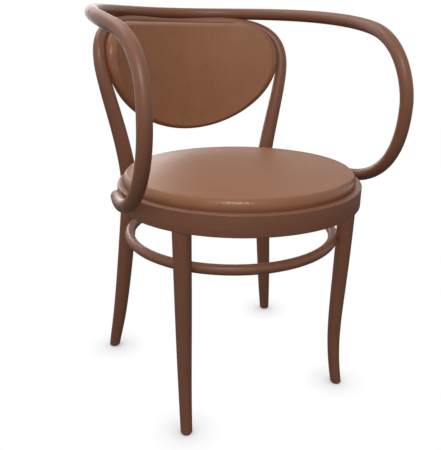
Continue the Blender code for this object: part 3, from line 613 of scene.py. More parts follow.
ROD_TREE = rod_tree()
print("tree", ROD_TREE.name)

# %% [markdown]
# ## From a line to a rod
# The tree runs as a modifier on a line of points, with its inputs set by the identifiers of their sockets.
# The result becomes the piece's plain mesh and the modifier goes, so that later steps work on what is seen.
# Doubled points are merged and all faces turned outwards, because a cut needs a closed skin.

# %% Bend a rod
ROD_SIDES = 36
SHARP_ANGLE = 38.0
SEAM = 1e-6


def bake(piece):
    """Turns what the modifiers make into the piece's plain mesh."""
    evaluated = piece.evaluated_get(bpy.context.evaluated_depsgraph_get())
    mesh = bpy.data.meshes.new_from_object(evaluated)
    piece.modifiers.clear()
    piece.data = mesh
    mesh.name = piece.name
    return piece


def grow_tree(piece, tree, **values):
    """Runs a geometry tree on a piece and bakes the result."""
    modifier = piece.modifiers.new(tree.name, "NODES")
    modifier.node_group = tree
    for item in tree.interface.items_tree:
        if item.in_out == "INPUT" and item.name in values:
            modifier[item.identifier] = values[item.name]
    return bake(piece)


def close_seams(shape):
    """Joins doubled points and turns every face outwards."""
    bmesh.ops.remove_doubles(shape, verts=shape.verts, dist=SEAM)
    bmesh.ops.recalc_face_normals(shape, faces=shape.faces)


def reshape(piece, change):
    """Runs change on the shape of a piece."""
    shape = bmesh.new()
    shape.from_mesh(piece.data)
    change(shape)
    shape.to_mesh(piece.data)
    shape.free()
    return piece


def soften(mesh):
    mesh.shade_smooth()
    mesh.set_sharp_from_angle(angle=math.radians(SHARP_ANGLE))


def write_layer(mesh, name, kind, values, domain="POINT"):
    layer = mesh.attributes.new(name, kind, domain)
    layer.data.foreach_set("value" if kind == "FLOAT" else "vector", np.ravel(values))


def bend_rod(name, rows, finish=None):
    """A rod through rows of (point, radius)."""
    mesh = bpy.data.meshes.new(name)
    mesh.from_pydata([row[0] for row in rows], [(i, i + 1) for i in range(len(rows) - 1)], [])
    write_layer(mesh, "thickness", "FLOAT", [row[1] for row in rows])
    rod = grow_tree(add_object(name, mesh), ROD_TREE, Sides=ROD_SIDES, Finish=finish)
    return reshape(rod, close_seams)


print("sides of a rod", ROD_SIDES)

# %% [markdown]
# ## Grain along the rods
# Each point of a rod finds the nearest place on the path. Its distance along the path and its place in the
# section go into the grain attribute, so the figure follows every bend without a seam. Beds and screw holes
# are cut before that, so that the grain also runs through them.

# %% Grain of a bent rod
GRAIN_BATCH = 2000
STEEP = 0.9


def read_places(mesh):
    places = np.empty(len(mesh.vertices) * 3)
    mesh.vertices.foreach_get("co", places)
    return places.reshape(-1, 3)


def section_frames(points):
    """For each point of a path: heading, and two directions across it that do not twist."""
    heading = np.gradient(points, axis=0)
    heading /= np.linalg.norm(heading, axis=1)[:, None]
    across = np.zeros_like(points)
    guess = np.array((0.0, 0.0, 1.0) if abs(heading[0][2]) < STEEP else (0.0, 1.0, 0.0))
    for i, way in enumerate(heading):
        guess = guess - way * guess.dot(way)
        guess /= np.linalg.norm(guess)
        across[i] = guess
    return heading, across, np.cross(heading, across)


def lay_grain(piece, rows):
    points = np.array([row[0] for row in rows])
    heading, across, aside = section_frames(points)
    places = read_places(piece.data)
    nearest = np.concatenate([
        np.linalg.norm(part[:, None, :] - points[None, :, :], axis=2).argmin(axis=1)
        for part in np.array_split(places, 1 + len(places) // GRAIN_BATCH)])
    offset = places - points[nearest]
    x, y, z = [(offset * way[nearest]).sum(axis=1) for way in (across, aside, heading)]
    grain = np.stack([x, y, run_along(points)[nearest] + z], axis=1)
    write_layer(piece.data, "grain", "FLOAT_VECTOR", grain)


print("points of grain in a batch", GRAIN_BATCH)

# %% [markdown]
# ## Ends, cuts and handing over
# A maker leaves a rod too long, saws or bevels its ends and cuts beds where two rods cross. Here the rows of
# a rod are run on past its ends, with a taper where the end gets a bevel. Beds and holes are exact booleans,
# which leave clean edges. A finished piece then takes the place of the model's own nodes.

# %% Wood work


def run_on(rows, start=0.0, end=0.0, taper=0.0):
    """Rows run on straight past their ends, thinner by taper times the length added."""
    rows = list(rows)
    if start:
        way = (rows[0][0] - rows[1][0]).normalized()
        rows.insert(0, (rows[0][0] + way * start, rows[0][1] - taper * start))
    if end:
        way = (rows[-1][0] - rows[-2][0]).normalized()
        rows.append((rows[-1][0] + way * end, rows[-1][1] - taper * end))
    return rows


def cut(piece, *tools):
    """Takes tools away from a piece and removes them."""
    for tool in tools:
        step = piece.modifiers.new(tool.name, "BOOLEAN")
        step.solver = "EXACT"
        step.object = tool
    bake(piece)
    for tool in tools:
        bpy.data.objects.remove(tool, do_unlink=True)


def hand_over(piece, slot, *replaced):
    """Puts a finished piece on the chair in place of nodes of the model."""
    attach(piece, "root")
    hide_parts(*replaced)
    print(piece.name, len(piece.data.polygons), "faces")


def finish_wood(piece, rows, *replaced):
    lay_grain(piece, rows)
    soften(piece.data)
    hand_over(piece, "stained_beech", *replaced)


print("wood work ready")

# %% [markdown]
# ## Turned tools and pieces
# Rings, discs, screw holes and glides are turned shapes. A lathe would turn them, and here half a section is
# spun about an upright axis, which gives the same clean rounds. The seam and the poles are merged afterwards.

# %% Lathe


def lathe(name, profile, steps, finish=None, closed=False):
    """Spins (radius, height) points round the Z axis into a closed shape."""
    shape = bmesh.new()
    corners = [shape.verts.new((radius, 0.0, height)) for radius, height in profile]
    edges = [shape.edges.new(pair) for pair in zip(corners, corners[1:])]
    if closed:
        edges.append(shape.edges.new((corners[-1], corners[0])))
    bmesh.ops.spin(shape, geom=corners + edges, cent=(0.0, 0.0, 0.0), axis=(0.0, 0.0, 1.0),
                   angle=2 * math.pi, steps=steps, use_merge=True)
    close_seams(shape)
    return drawn(name, shape, finish)


def round_corner(centre, radius, start, stop, steps):
    turns = [math.radians(start + (stop - start) * i / steps) for i in range(steps + 1)]
    return [(centre[0] + radius * math.cos(t), centre[1] + radius * math.sin(t)) for t in turns]


def at_seat(piece):
    """Moves a shape made about the Z axis to the axis of the seat."""
    piece.data.transform(Matrix.Translation(SEAT_CENTRE))
    return piece


def stand(piece, base, heading):
    """Moves a shape made about the Z axis so that its axis starts at base and points along heading."""
    turn = Vector(heading).to_track_quat("Z", "Y").to_matrix().to_4x4()
    piece.data.transform(Matrix.Translation(base) @ turn)
    return piece


print("lathe ready")

# %% [markdown]
# ## Screws, read from the frame
# Every screw of the model is a node. Its longest direction is its axis, and its wider end is the head. With
# those the fine screws and their holes go exactly where the model has them.

# %% Screw places
SCREW_NODES = sorted(name for name in nodes if "screw" in name or "bolt" in name)
END_DEPTH = 1e-4
SHANK_SHARE = 0.5
HOLE_OVERRUN = 0.014
HOLE_STEPS = 24


def read_screw(name):
    """Head centre, outward axis, length and head radius of a screw node."""
    places = read_places(nodes[name].data)
    centre = (places.min(axis=0) + places.max(axis=0)) / 2
    axis = np.linalg.svd(places - places.mean(axis=0))[2][0]
    along = (places - centre) @ axis
    off = np.linalg.norm(places - centre - np.outer(along, axis), axis=1)
    if off[along > along.max() - END_DEPTH].max() < off[along < along.min() + END_DEPTH].max():
        axis, along = -axis, -along
    at_head = places[along > along.max() - END_DEPTH]
    head = at_head.mean(axis=0)
    head_radius = np.linalg.norm(at_head - head, axis=1).max()
    return Vector(head), Vector(axis), float(along.max() - along.min()), float(head_radius)


SCREWS = {name: read_screw(name) for name in SCREW_NODES}


def screw_hole(name):
    """A tool that bores the hole of one screw, with room above its head."""
    place, axis, length, radius = SCREWS[name]
    head, shank = radius + GAP, radius * SHANK_SHARE + GAP
    neck = -radius * (1.0 - SHANK_SHARE) - GAP
    depth = length + GAP
    profile = [(0.0, HOLE_OVERRUN), (head, HOLE_OVERRUN), (head, -GAP),
               (shank, neck), (shank, -depth), (0.0, -depth)]
    return stand(lathe(name + "_hole", profile, HOLE_STEPS), place, axis)


def holes(*words):
    """Hole tools for all screws whose name holds one of the words."""
    return [screw_hole(name) for name in SCREW_NODES if any(word in name for word in words)]


print("screws", len(SCREWS), "lengths", sorted({round(screw[2] * 1000, 1) for screw in SCREWS.values()}))

# %% [markdown]
# ## Back hoop and rear legs
# One rod makes both rear legs and the hoop of the back. It is thickest where the seat ring is bolted to it
# and tapers to the feet and to the top. The feet are sawn flat on their glides, and the leg ring and the back
# rail are let in a little. Their beds are cut with the same rods, a hair thicker, so that no two pieces
# overlap.

# %% Back hoop
GLIDE_HEIGHT = 0.003
FOOT_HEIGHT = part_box("left_rear_glide")[0].z + GLIDE_HEIGHT + GAP
FOOT_OVERRUN = 0.012
RING_BED_LAP = 0.001
leg_ring_low, leg_ring_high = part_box("leg_ring")
LEG_RING_TUBE = (leg_ring_high.z - leg_ring_low.z) / 2
LEG_RING_RADIUS = (leg_ring_high.x - leg_ring_low.x) / 2 - LEG_RING_TUBE
LEG_RING_CENTRE = (leg_ring_low + leg_ring_high) / 2


def leg_ring_rows(gap):
    """Rows round the leg ring from the rear, with a fine joint gap there, or a lap if it is negative."""
    count = round(2 * math.pi * LEG_RING_RADIUS / ROD_STEP)
    spare = gap / LEG_RING_RADIUS
    rows = []
    for i in range(count + 1):
        turn = math.radians(90.0) + spare + (2 * math.pi - 2 * spare) * i / count
        out = Vector((math.cos(turn), math.sin(turn), 0.0))
        rows.append((LEG_RING_CENTRE + out * LEG_RING_RADIUS, LEG_RING_TUBE))
    return rows


def bed(name, rows):
    """A tool that cuts the bed of a rod."""
    return bend_rod(name, [(place, radius + GAP) for place, radius in rows])


def saw_feet(shape):
    """Cuts a shape flat at the height of the glides and closes each foot."""
    every = shape.verts[:] + shape.edges[:] + shape.faces[:]
    bmesh.ops.bisect_plane(shape, geom=every, plane_co=(0.0, 0.0, FOOT_HEIGHT), plane_no=(0.0, 0.0, 1.0),
                           clear_inner=True)
    rim = [edge for edge in shape.edges if edge.is_boundary]
    for sign in (-1, 1):
        loop = [edge for edge in rim if edge.verts[0].co.x * sign > 0.0]
        if loop:
            bmesh.ops.contextual_create(shape, geom=loop)
    bmesh.ops.recalc_face_normals(shape, faces=shape.faces)


hoop_rows = run_on(HOOP.walk(0, HOOP.last), FOOT_OVERRUN, FOOT_OVERRUN)
rail_half = SPLICE - ARM.middle
rail_rows = ARM.walk(ARM.middle - rail_half, ARM.middle + rail_half)
hoop = reshape(bend_rod("back_hoop_rod", hoop_rows, BEECH), saw_feet)
cut(hoop, bed("rail_bed", rail_rows), bed("ring_bed", leg_ring_rows(-RING_BED_LAP)),
    *holes("back_screw", "rail_screw"))
finish_wood(hoop, hoop_rows, "back_hoop")

# %% [markdown]
# ## Back rail and arms
# A second rod is bedded on the hoop, comes forward at both sides and loops down to the seat ring. No bender
# makes that in one length, so each arm is glued to the rail in a splice, which shows as a fine groove. The
# lower ends of the arms are bevelled and hollowed to sit on the round of the ring.

# %% Back rail and arms
SPLICE_BEVEL = 0.0010
ARM_END_BEVEL = 0.003
LANDING_RISE = 0.03
LANDING_STEPS = 256
SIDES = (("left", -1), ("right", 1))


def to_side(rows, sign):
    return [(mirrored(place, sign), radius) for place, radius in rows]


def landing():
    """A tool of the size of the seat ring, which hollows the end of an arm."""
    side, top = RING_RADIUS + GAP, RING_TOP + LANDING_RISE
    profile = [(0.0, top), (side, top), (side, RING_BOTTOM), (0.0, RING_BOTTOM)]
    return at_seat(lathe("landing", profile, LANDING_STEPS))


rail = bend_rod("back_rail_rod", run_on(rail_rows, SPLICE_BEVEL, SPLICE_BEVEL, taper=1.0), BEECH)
cut(rail, *holes("rail_screw"))
finish_wood(rail, rail_rows, "back_rail")

arm_rows = ARM.walk(SPLICE, ARM.last)
splice_way = (arm_rows[1][0] - arm_rows[0][0]).normalized()
arm_rows[0] = (arm_rows[0][0] + splice_way * (2 * SPLICE_BEVEL + GAP), ARM_RADIUS)
for side, sign in SIDES:
    rows = to_side(arm_rows, sign)
    arm = bend_rod(side + "_arm_rod", run_on(rows, SPLICE_BEVEL, ARM_END_BEVEL, taper=1.0), BEECH)
    cut(arm, landing())
    finish_wood(arm, rows, side + "_arm")

# %% [markdown]
# ## Front legs and leg ring
# The front legs are turned, thick under the seat and thin at the foot, with a slight forward sweep. The leg
# ring is one thin rod bent to a full circle and glued end to end at the rear. The rod tree makes both, since
# only the paths and the thicknesses differ from those of the hoop.

# %% Front legs and leg ring
RING_JOINT = 0.0002

leg_rows = run_on(FRONT_LEG.walk(0, FRONT_LEG.last), end=FOOT_OVERRUN)
for side, sign in SIDES:
    rows = to_side(leg_rows, sign)
    leg = reshape(bend_rod(side + "_front_leg_rod", rows, BEECH), saw_feet)
    cut(leg, bed("ring_bed", leg_ring_rows(-RING_BED_LAP)))
    finish_wood(leg, rows, side + "_front_leg")

ring_rows = leg_ring_rows(RING_JOINT)
leg_ring = bend_rod("leg_ring_rod", ring_rows, BEECH)
cut(leg_ring, *holes("ring_screw"))
finish_wood(leg_ring, ring_rows, "leg_ring")

# %% [markdown]
# ## Seat ring
# The seat ring is a wide strip bent edgewise into a circle. Its outer edges are rounded over, a rebate inside
# the lip takes the pad, and the rear legs are let into its side. Its grain runs round the circle, so the
# grain attribute is the strip's straightened length, kept on face corners to allow a clean joint at the rear.

# %% Seat ring
LIP_WIDTH = 0.0126
REBATE_DEPTH = 0.012
RING_WALL = 0.040
RING_EDGE = 0.0018
RING_EDGE_STEPS = 6
LIP_EDGE = 0.0008
LIP_EDGE_STEPS = 3
RING_STEPS = 288


def ring_profile():
    outer, inner, rebate = RING_RADIUS, RING_RADIUS - RING_WALL, RING_RADIUS - LIP_WIDTH
    ledge = RING_TOP - REBATE_DEPTH
    lip = (rebate + LIP_EDGE, RING_TOP - LIP_EDGE)
    upper = (outer - RING_EDGE, RING_TOP - RING_EDGE)
    lower = (outer - RING_EDGE, RING_BOTTOM + RING_EDGE)
    heel = (inner + LIP_EDGE, RING_BOTTOM + LIP_EDGE)
    profile = round_corner(lip, LIP_EDGE, 180, 90, LIP_EDGE_STEPS)
    profile += round_corner(upper, RING_EDGE, 90, 0, RING_EDGE_STEPS)
    profile += round_corner(lower, RING_EDGE, 0, -90, RING_EDGE_STEPS)
    profile += round_corner(heel, LIP_EDGE, start=270, stop=180, steps=LIP_EDGE_STEPS)
    return profile + [(inner, ledge), (rebate, ledge)]


def lay_ring_grain(mesh):
    places = read_places(mesh) - np.array(SEAT_CENTRE)
    turns = np.arctan2(places[:, 0], -places[:, 1])
    reach = np.hypot(places[:, 0], places[:, 1])
    grain = np.zeros((len(mesh.loops), 3))
    for face in mesh.polygons:
        middle = math.atan2(face.center.x, -(face.center.y - SEAT_CENTRE.y))
        for corner in face.loop_indices:
            point = mesh.loops[corner].vertex_index
            turn = turns[point]
            turn += 2 * math.pi * round((middle - turn) / (2 * math.pi))
            grain[corner] = (reach[point], places[point][2], RING_RADIUS * turn)
    write_layer(mesh, "grain", "FLOAT_VECTOR", grain, "CORNER")


seat_ring = at_seat(lathe("seat_ring_strip", ring_profile(), RING_STEPS, BEECH, closed=True))
cut(seat_ring, bed("post_bed", hoop_rows), *holes("arm_screw", "rear_bolt", "seat_screw"))
lay_ring_grain(seat_ring.data)
soften(seat_ring.data)
hand_over(seat_ring, "stained_beech", "seat_ring")

# %% [markdown]
# ## A grid for pads
# A pad is a face with a rolled border. A plain disc of rings would pinch at its middle, and a simulation
# would show it. A square grid of cells is pushed outwards instead until its border lies on the pad's outline.
# Its cells crowd a little towards that border, where the leather is folded to a crease. Rows of points then
# carry the skin round the border and under the pad, and a second grid closes it out of sight.

# %% Pad grid
PAD_CELLS = 36
CROWDING = 1.5
CREASE = 0.8
BORDER_POINTS = 8 * PAD_CELLS


def grid_place(i, j):
    """How far out a grid point lies, from 0 to 1, and where round the border, from 0 to 1.

    The points at k cells from the middle form a square, and index counts them round its four sides."""
    k = max(abs(i), abs(j))
    if k == 0:
        return 0.0, 0.0
    side = 2 * k
    if i == k and j < k:
        index = k + j
    elif j == k and i > -k:
        index = side + k - i
    elif i == -k and j > -k:
        index = 2 * side + k - j
    else:
        index = 3 * side + k + i
    return 1.0 - (1.0 - k / PAD_CELLS) ** CROWDING, (index - k) % (4 * side) / (4 * side)


def join_rows(shape, first, second):
    for i in range(len(first)):
        k = (i + 1) % len(first)
        shape.faces.new((first[i], first[k], second[k], second[i]))


def fill_grid(shape, surface, border):
    """A grid of cells on surface(share, turn), whose rim uses the points in border, by turn."""
    span = range(-PAD_CELLS, PAD_CELLS + 1)
    grid = {}
    for i in span:
        for j in span:
            share, turn = grid_place(i, j)
            on_rim = max(abs(i), abs(j)) == PAD_CELLS
            grid[i, j] = border[turn] if on_rim else shape.verts.new(surface(share, turn))
    for i in span[:-1]:
        for j in span[:-1]:
            shape.faces.new((grid[i, j], grid[i + 1, j], grid[i + 1, j + 1], grid[i, j + 1]))


def build_pad(name, face, rows, floor, finish, wear=lambda turn: 1.0):
    """A closed pad: face(share, turn) in front, rows(turn) round it, floor(share, turn) behind.

    wear(turn) is how far its border is polished."""
    shape = bmesh.new()
    creases = shape.edges.layers.float.new("crease_edge")
    polish = shape.verts.layers.float.new("polish")
    turns = [index / BORDER_POINTS for index in range(BORDER_POINTS)]
    last = [shape.verts.new(face(1.0, turn)) for turn in turns]
    fill_grid(shape, face, dict(zip(turns, last)))
    for first, second in zip(last, last[1:] + last[:1]):
        shape.edges.get((first, second))[creases] = CREASE
    for row in rows:
        ring = [shape.verts.new(row(turn)) for turn in turns]
        for turn, vertex in zip(turns, ring):
            vertex[polish] = wear(turn)
        join_rows(shape, last, ring)
        last = ring
    fill_grid(shape, floor, dict(zip(turns, last)))
    bmesh.ops.recalc_face_normals(shape, faces=shape.faces)
    pad = drawn(name, shape, finish)
    pad.data.shade_smooth()
    return pad


print("border points of a pad", BORDER_POINTS)

# %% [markdown]
# ## Puffing a pad with cloth
# A pad is foam pressed under a leather skin. The skin is drawn a little too small, then a cloth simulation
# blows it up from inside while its border and the hidden parts are held, so only the face swells. The
# movement has a limit, so the pad keeps its size.

# %% Cloth puff
PUFF_FRAMES = 20
PUFF_CLOTH = {
    "quality": 3,
    "mass": 0.3,
    "tension_stiffness": 40.0,
    "compression_stiffness": 40.0,
    "shear_stiffness": 20.0,
    "bending_stiffness": 4.0,
    "use_pressure": True,
    "uniform_pressure_force": 4.0,
}
EASE_ROUNDS = 40
NO_MOVE = 1e-9


def within(share):
    return min(1.0, max(0.0, share))


def puff(pad, hold, most):
    """Blows up a pad. hold(place) is 1 for points that stay and 0 for free ones, most is the longest move."""
    mesh = pad.data
    rest = read_places(mesh)
    held = pad.vertex_groups.new(name="held")
    for index, place in enumerate(rest):
        held.add([index], float(hold(place)), "REPLACE")
    cloth = pad.modifiers.new("puff", "CLOTH")
    for title, value in PUFF_CLOTH.items():
        setattr(cloth.settings, title, value)
    cloth.settings.vertex_group_mass = held.name
    cloth.settings.effector_weights.gravity = 0.0
    cloth.collision_settings.use_collision = False
    cloth.point_cache.frame_start = 1
    cloth.point_cache.frame_end = PUFF_FRAMES
    for number in range(1, PUFF_FRAMES + 1):
        bpy.context.scene.frame_set(number)
    evaluated = pad.evaluated_get(bpy.context.evaluated_depsgraph_get())
    move = read_places(evaluated.data) - rest
    pad.modifiers.clear()
    bpy.context.scene.frame_set(1)
    length = np.linalg.norm(move, axis=1)
    move *= (np.minimum(length, most) / np.maximum(length, NO_MOVE))[:, None]
    mesh.vertices.foreach_set("co", (rest + move).ravel())
    mesh.update()
    print(pad.name, "moved up to", round(float(length.max()) * 1000, 1), "mm, kept", round(most * 1000, 1))


def refine(pad):
    """Eases out the ripples of the free leather and subdivides once, baked."""
    if "held" in pad.vertex_groups:
        ease = pad.modifiers.new("ease", "SMOOTH")
        ease.iterations = EASE_ROUNDS
        ease.vertex_group = "held"
        ease.invert_vertex_group = True
    smoother = pad.modifiers.new("refine", "SUBSURF")
    smoother.levels = 1
    smoother.render_levels = 1
    bake(pad)
    pad.data.shade_smooth()


print("frames of a puff", PUFF_FRAMES)

# %% [markdown]
# ## Shape of the seat pad
# The seat pad is a disc of plywood and foam under leather, dropped into the rebate of the ring. Its top is
# nearly flat with a soft crown inside a crease. Outside the crease the border rolls over and draws in where
# the ring's lip grips it, and the leather turns in under the board. All of it is round, so a radius and a
# height give each row.

# %% Shape of the seat pad
COVER_THICKNESS = 0.0014
PAD_SIDE_GAP = 0.0003
SEAT_TURN_IN = 0.012
SEAT_RISE = 0.0205
SEAT_CROWN = 0.006
SEAT_CREASE_INSET = 0.0075
SEAT_FOLD = math.radians(42.0)
SEAT_TUCK = math.radians(18.0)
SEAT_BORDER_ROWS = 15
SEAT_NECK_DROP = 0.002
SEAT_FOOT_EDGE = 0.001
SEAT_PUFF = 0.0022
SEAT_BOARD_THICKNESS = 0.0085

SEAT_NECK = RING_RADIUS - LIP_WIDTH - PAD_SIDE_GAP
SEAT_FOOT = RING_TOP - REBATE_DEPTH + GAP
SEAT_ROLL_WIDE = SEAT_CREASE_INSET / (1.0 - math.cos(SEAT_FOLD))
SEAT_ROLL_TALL = SEAT_RISE / (math.sin(SEAT_FOLD) + math.sin(SEAT_TUCK))
SEAT_WAIST = RING_TOP + SEAT_ROLL_TALL * math.sin(SEAT_TUCK)
SEAT_WIDEST = SEAT_NECK + SEAT_ROLL_WIDE * (1.0 - math.cos(SEAT_TUCK))
SEAT_FLAT = SEAT_WIDEST - SEAT_CREASE_INSET
BOARD_SIDE = SEAT_NECK - COVER_THICKNESS - GAP
BOARD_UNDERSIDE = SEAT_FOOT + COVER_THICKNESS + GAP
BOARD_TOP = BOARD_UNDERSIDE + SEAT_BOARD_THICKNESS
POCKET_SIDE = BOARD_SIDE + GAP
POCKET_TOP = BOARD_TOP + GAP


def round_place(radius, height, turn):
    angle = 2 * math.pi * turn
    return SEAT_CENTRE + Vector((radius * math.cos(angle), radius * math.sin(angle), height))


def seat_face(share, turn):
    height = RING_TOP + SEAT_RISE + (SEAT_CROWN - SEAT_PUFF) * (1.0 - share**2)
    return round_place(SEAT_FLAT * share, height, turn)


def seat_floor(share, turn):
    return round_place(POCKET_SIDE * share, POCKET_TOP, turn)


def seat_rows():
    """Rows from the border of the top round to the pocket of the board."""
    profile = []
    for number in range(1, SEAT_BORDER_ROWS + 1):
        turn = SEAT_FOLD - (SEAT_FOLD + SEAT_TUCK) * number / SEAT_BORDER_ROWS
        radius = SEAT_WIDEST - SEAT_ROLL_WIDE * (1.0 - math.cos(turn))
        profile.append((radius, SEAT_WAIST + SEAT_ROLL_TALL * math.sin(turn)))
    hem, inside = SEAT_NECK - SEAT_TURN_IN, SEAT_FOOT + COVER_THICKNESS
    profile += [(SEAT_NECK, RING_TOP - SEAT_NECK_DROP), (SEAT_NECK, SEAT_FOOT + SEAT_FOOT_EDGE),
                (SEAT_NECK - SEAT_FOOT_EDGE, SEAT_FOOT), (hem, SEAT_FOOT), (hem, inside),
                (POCKET_SIDE, inside), (POCKET_SIDE, POCKET_TOP)]
    return [lambda turn, r=radius, h=height: round_place(r, h, turn) for radius, height in profile]


print("seat pad radius", round(SEAT_WIDEST, 4), "border rows", SEAT_BORDER_ROWS)

# %% [markdown]
# ## Seat pad
# The foam swells the middle of the top, and the leather is held from near the crease outwards. It is eased in
# round the border, so small puckers break the highlight there, uneven as hand work is. They are too fine for
# the simulation and are pushed into the finished mesh. The front of the border is rubbed smoother than its
# sides and rear.

# %% Seat pad
SEAT_FREE = 0.80
SEAT_EASE = 0.17
SEAT_LEAST_WEAR = 0.25
PUCKER_DEPTH = 0.00016
PUCKER_COUNT = 150
PUCKER_SEED = 4
PUCKER_WAVES = (7, 11, 5, 17)
PUCKER_SWAY = (3, 2)
PUCKER_LIFT = 0.8


def seat_wear(turn):
    """The front of the border is rubbed smooth in use, its sides and rear less so."""
    return SEAT_LEAST_WEAR + (1.0 - SEAT_LEAST_WEAR) * max(0.0, -math.sin(2 * math.pi * turn))


def seat_hold(place):
    """Free in the middle of the top, held from near the crease outwards."""
    if place[2] <= RING_TOP + SEAT_RISE / 2:
        return 1.0
    reach = math.hypot(place[0], place[1] - SEAT_CENTRE.y)
    return within((reach / SEAT_FLAT - SEAT_FREE) / SEAT_EASE)


def pucker(pad):
    """Small tucks round the rolled border, deepest half way up it."""
    rng = np.random.default_rng(PUCKER_SEED)
    starts = rng.uniform(0.0, 2 * math.pi, len(PUCKER_WAVES))
    for vertex in pad.data.vertices:
        place = vertex.co - SEAT_CENTRE
        rise = (place.z - RING_TOP) / SEAT_RISE
        reach = math.hypot(place.x, place.y)
        if reach < SEAT_FLAT or not 0.0 < rise < 1.0:
            continue
        turn = math.atan2(place.y, place.x)
        a, b, c, d = [math.sin(wave * turn + start) for wave, start in zip(PUCKER_WAVES, starts)]
        swell = 0.5 + 0.5 * a * b
        tuck = math.sin(PUCKER_COUNT * turn + PUCKER_SWAY[0] * c + PUCKER_SWAY[1] * d)
        fade = 4.0 * rise * (1.0 - rise)
        out = Vector((place.x / reach, place.y / reach, PUCKER_LIFT))
        vertex.co += out.normalized() * (PUCKER_DEPTH * swell * tuck * fade)


seat_pad = build_pad("seat_pad", seat_face, seat_rows(), seat_floor, LEATHER, seat_wear)
puff(seat_pad, seat_hold, SEAT_PUFF)
refine(seat_pad)
pucker(seat_pad)
hand_over(seat_pad, "brown_leather", "seat_cover", "seat_foam")

# %% [markdown]
# ## Seat board
# The board under the foam is a plywood disc with its edges broken. It could be a plain cylinder, but a turned
# section gives the broken edges in the same step.

# %% Seat board
BOARD_EDGE = 0.0008
BOARD_STEPS = 144


def board_profile():
    rim = BOARD_SIDE - BOARD_EDGE
    return [(0.0, BOARD_TOP), (rim, BOARD_TOP), (BOARD_SIDE, BOARD_TOP - BOARD_EDGE),
            (BOARD_SIDE, BOARD_UNDERSIDE + BOARD_EDGE), (rim, BOARD_UNDERSIDE), (0.0, BOARD_UNDERSIDE)]


seat_board = at_seat(lathe("seat_board_disc", board_profile(), BOARD_STEPS, PLYWOOD))
soften(seat_board.data)
hand_over(seat_board, "plywood", "seat_board")

# %% [markdown]
# ## Outline of the back pad
# Seen flat, the back pad is a shield: a flat top, two elliptic corners and half an ellipse below. A maker
# would cut it along a template. Here a formula gives any point of the outline, and a table spaces the border
# points evenly along it, so that the cells of the grid stay alike.

# %% Outline of the back pad
back_low, back_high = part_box("back_cover")
BACK_WIDE = 0.1944
BACK_FLAT = 0.130
BACK_SHOULDER = 0.069
BACK_TOP = back_high.z
BACK_WIDEST = BACK_TOP - BACK_SHOULDER
BACK_BOTTOM = back_low.z
SHIELD_PARTS = 4
SHIELD_STEPS = 400


def shield(part, share, inset):
    """A point of the shield outline: part 0 and 2 are the corners, 1 the top and 3 the lower half."""
    wide = BACK_WIDE - inset
    rise, drop = BACK_TOP - BACK_WIDEST - inset, BACK_WIDEST - BACK_BOTTOM - inset
    if part == 1:
        return BACK_FLAT * (1.0 - 2.0 * share), BACK_WIDEST + rise
    if part == 3:
        turn = math.pi * (1.0 + share)
        return wide * math.cos(turn), BACK_WIDEST + drop * math.sin(turn)
    turn = math.pi / 2 * share
    if part == 2:
        return -BACK_FLAT - (wide - BACK_FLAT) * math.sin(turn), BACK_WIDEST + rise * math.cos(turn)
    return BACK_FLAT + (wide - BACK_FLAT) * math.cos(turn), BACK_WIDEST + rise * math.sin(turn)


def shield_table():
    """Part and share of the outline at even steps of its length."""
    fine = [(part, i / SHIELD_STEPS) for part in range(SHIELD_PARTS) for i in range(SHIELD_STEPS)]
    fine.append((SHIELD_PARTS - 1, 1.0))
    run = run_along(np.array([shield(part, share, 0.0) for part, share in fine]))
    flat = [part + share for part, share in fine]
    return np.interp(np.linspace(0.0, run[-1], BORDER_POINTS + 1), run, flat)


SHIELD = shield_table()


def shield_at(turn, inset):
    value = float(np.interp(turn * BORDER_POINTS, range(BORDER_POINTS + 1), SHIELD))
    return shield(int(value), value - int(value), inset)


print("shield", round(2 * BACK_WIDE, 4), "wide", round(BACK_TOP - BACK_BOTTOM, 4), "high")

# %% [markdown]
# ## Back pad
# The pad is bent round the sitter and leans back with the hoop. Foam and leather cover a moulded board, and
# the leather turns in behind it, where the stained board shows. The shield is drawn flat and then bent about
# an upright axis, because the bend is the same at every height.

# %% Back pad
BACK_MIDDLE = (BACK_TOP + BACK_BOTTOM) / 2
BACK_BEND = 0.291
BACK_LEAN = 0.195
BACK_THICKNESS = 0.024
BACK_CROWN = 0.004
BACK_CREASE_INSET = 0.008
BACK_REAR_INSET = 0.004
BACK_FOLD = math.radians(55.0)
BACK_BORDER_ANGLES = (50, 43, 34, 23, 11, -1, -13, -25, -37, -47, -55)
BACK_POCKET_ANGLES = (90, 45, 0)
BACK_REAR_ROLL = 0.007
BACK_BOARD_THICKNESS = 0.008
BACK_TURN_IN = 0.016
BACK_PUFF = 0.0020
BACK_HOLD_START = 0.0003
BACK_HOLD_SPAN = 0.0006
BACK_SEAT = back_high.y - BACK_LEAN * (BACK_TOP - BACK_REAR_ROLL - BACK_WIDEST)
BACK_BOARD_REAR = COVER_THICKNESS + GAP
BACK_BOARD_FRONT = BACK_BOARD_REAR + BACK_BOARD_THICKNESS


def bent(x, z, depth):
    """A place in the bent pad: depth counts from its rear face towards the sitter."""
    turn = math.asin(x / (BACK_BEND - BACK_REAR_ROLL))
    radius = BACK_BEND - depth
    back = BACK_SEAT + BACK_LEAN * (z - BACK_WIDEST)
    return Vector((radius * math.sin(turn), back + radius * math.cos(turn) - BACK_BEND, z))


def back_place(share, turn, inset, depth):
    x, z = shield_at(turn, inset)
    return bent(x * share, BACK_MIDDLE + (z - BACK_MIDDLE) * share, depth)


def back_sheet(inset, depth):
    return lambda share, turn: back_place(share, turn, inset, depth)


def back_row(inset, depth):
    return lambda turn: back_place(1.0, turn, inset, depth)


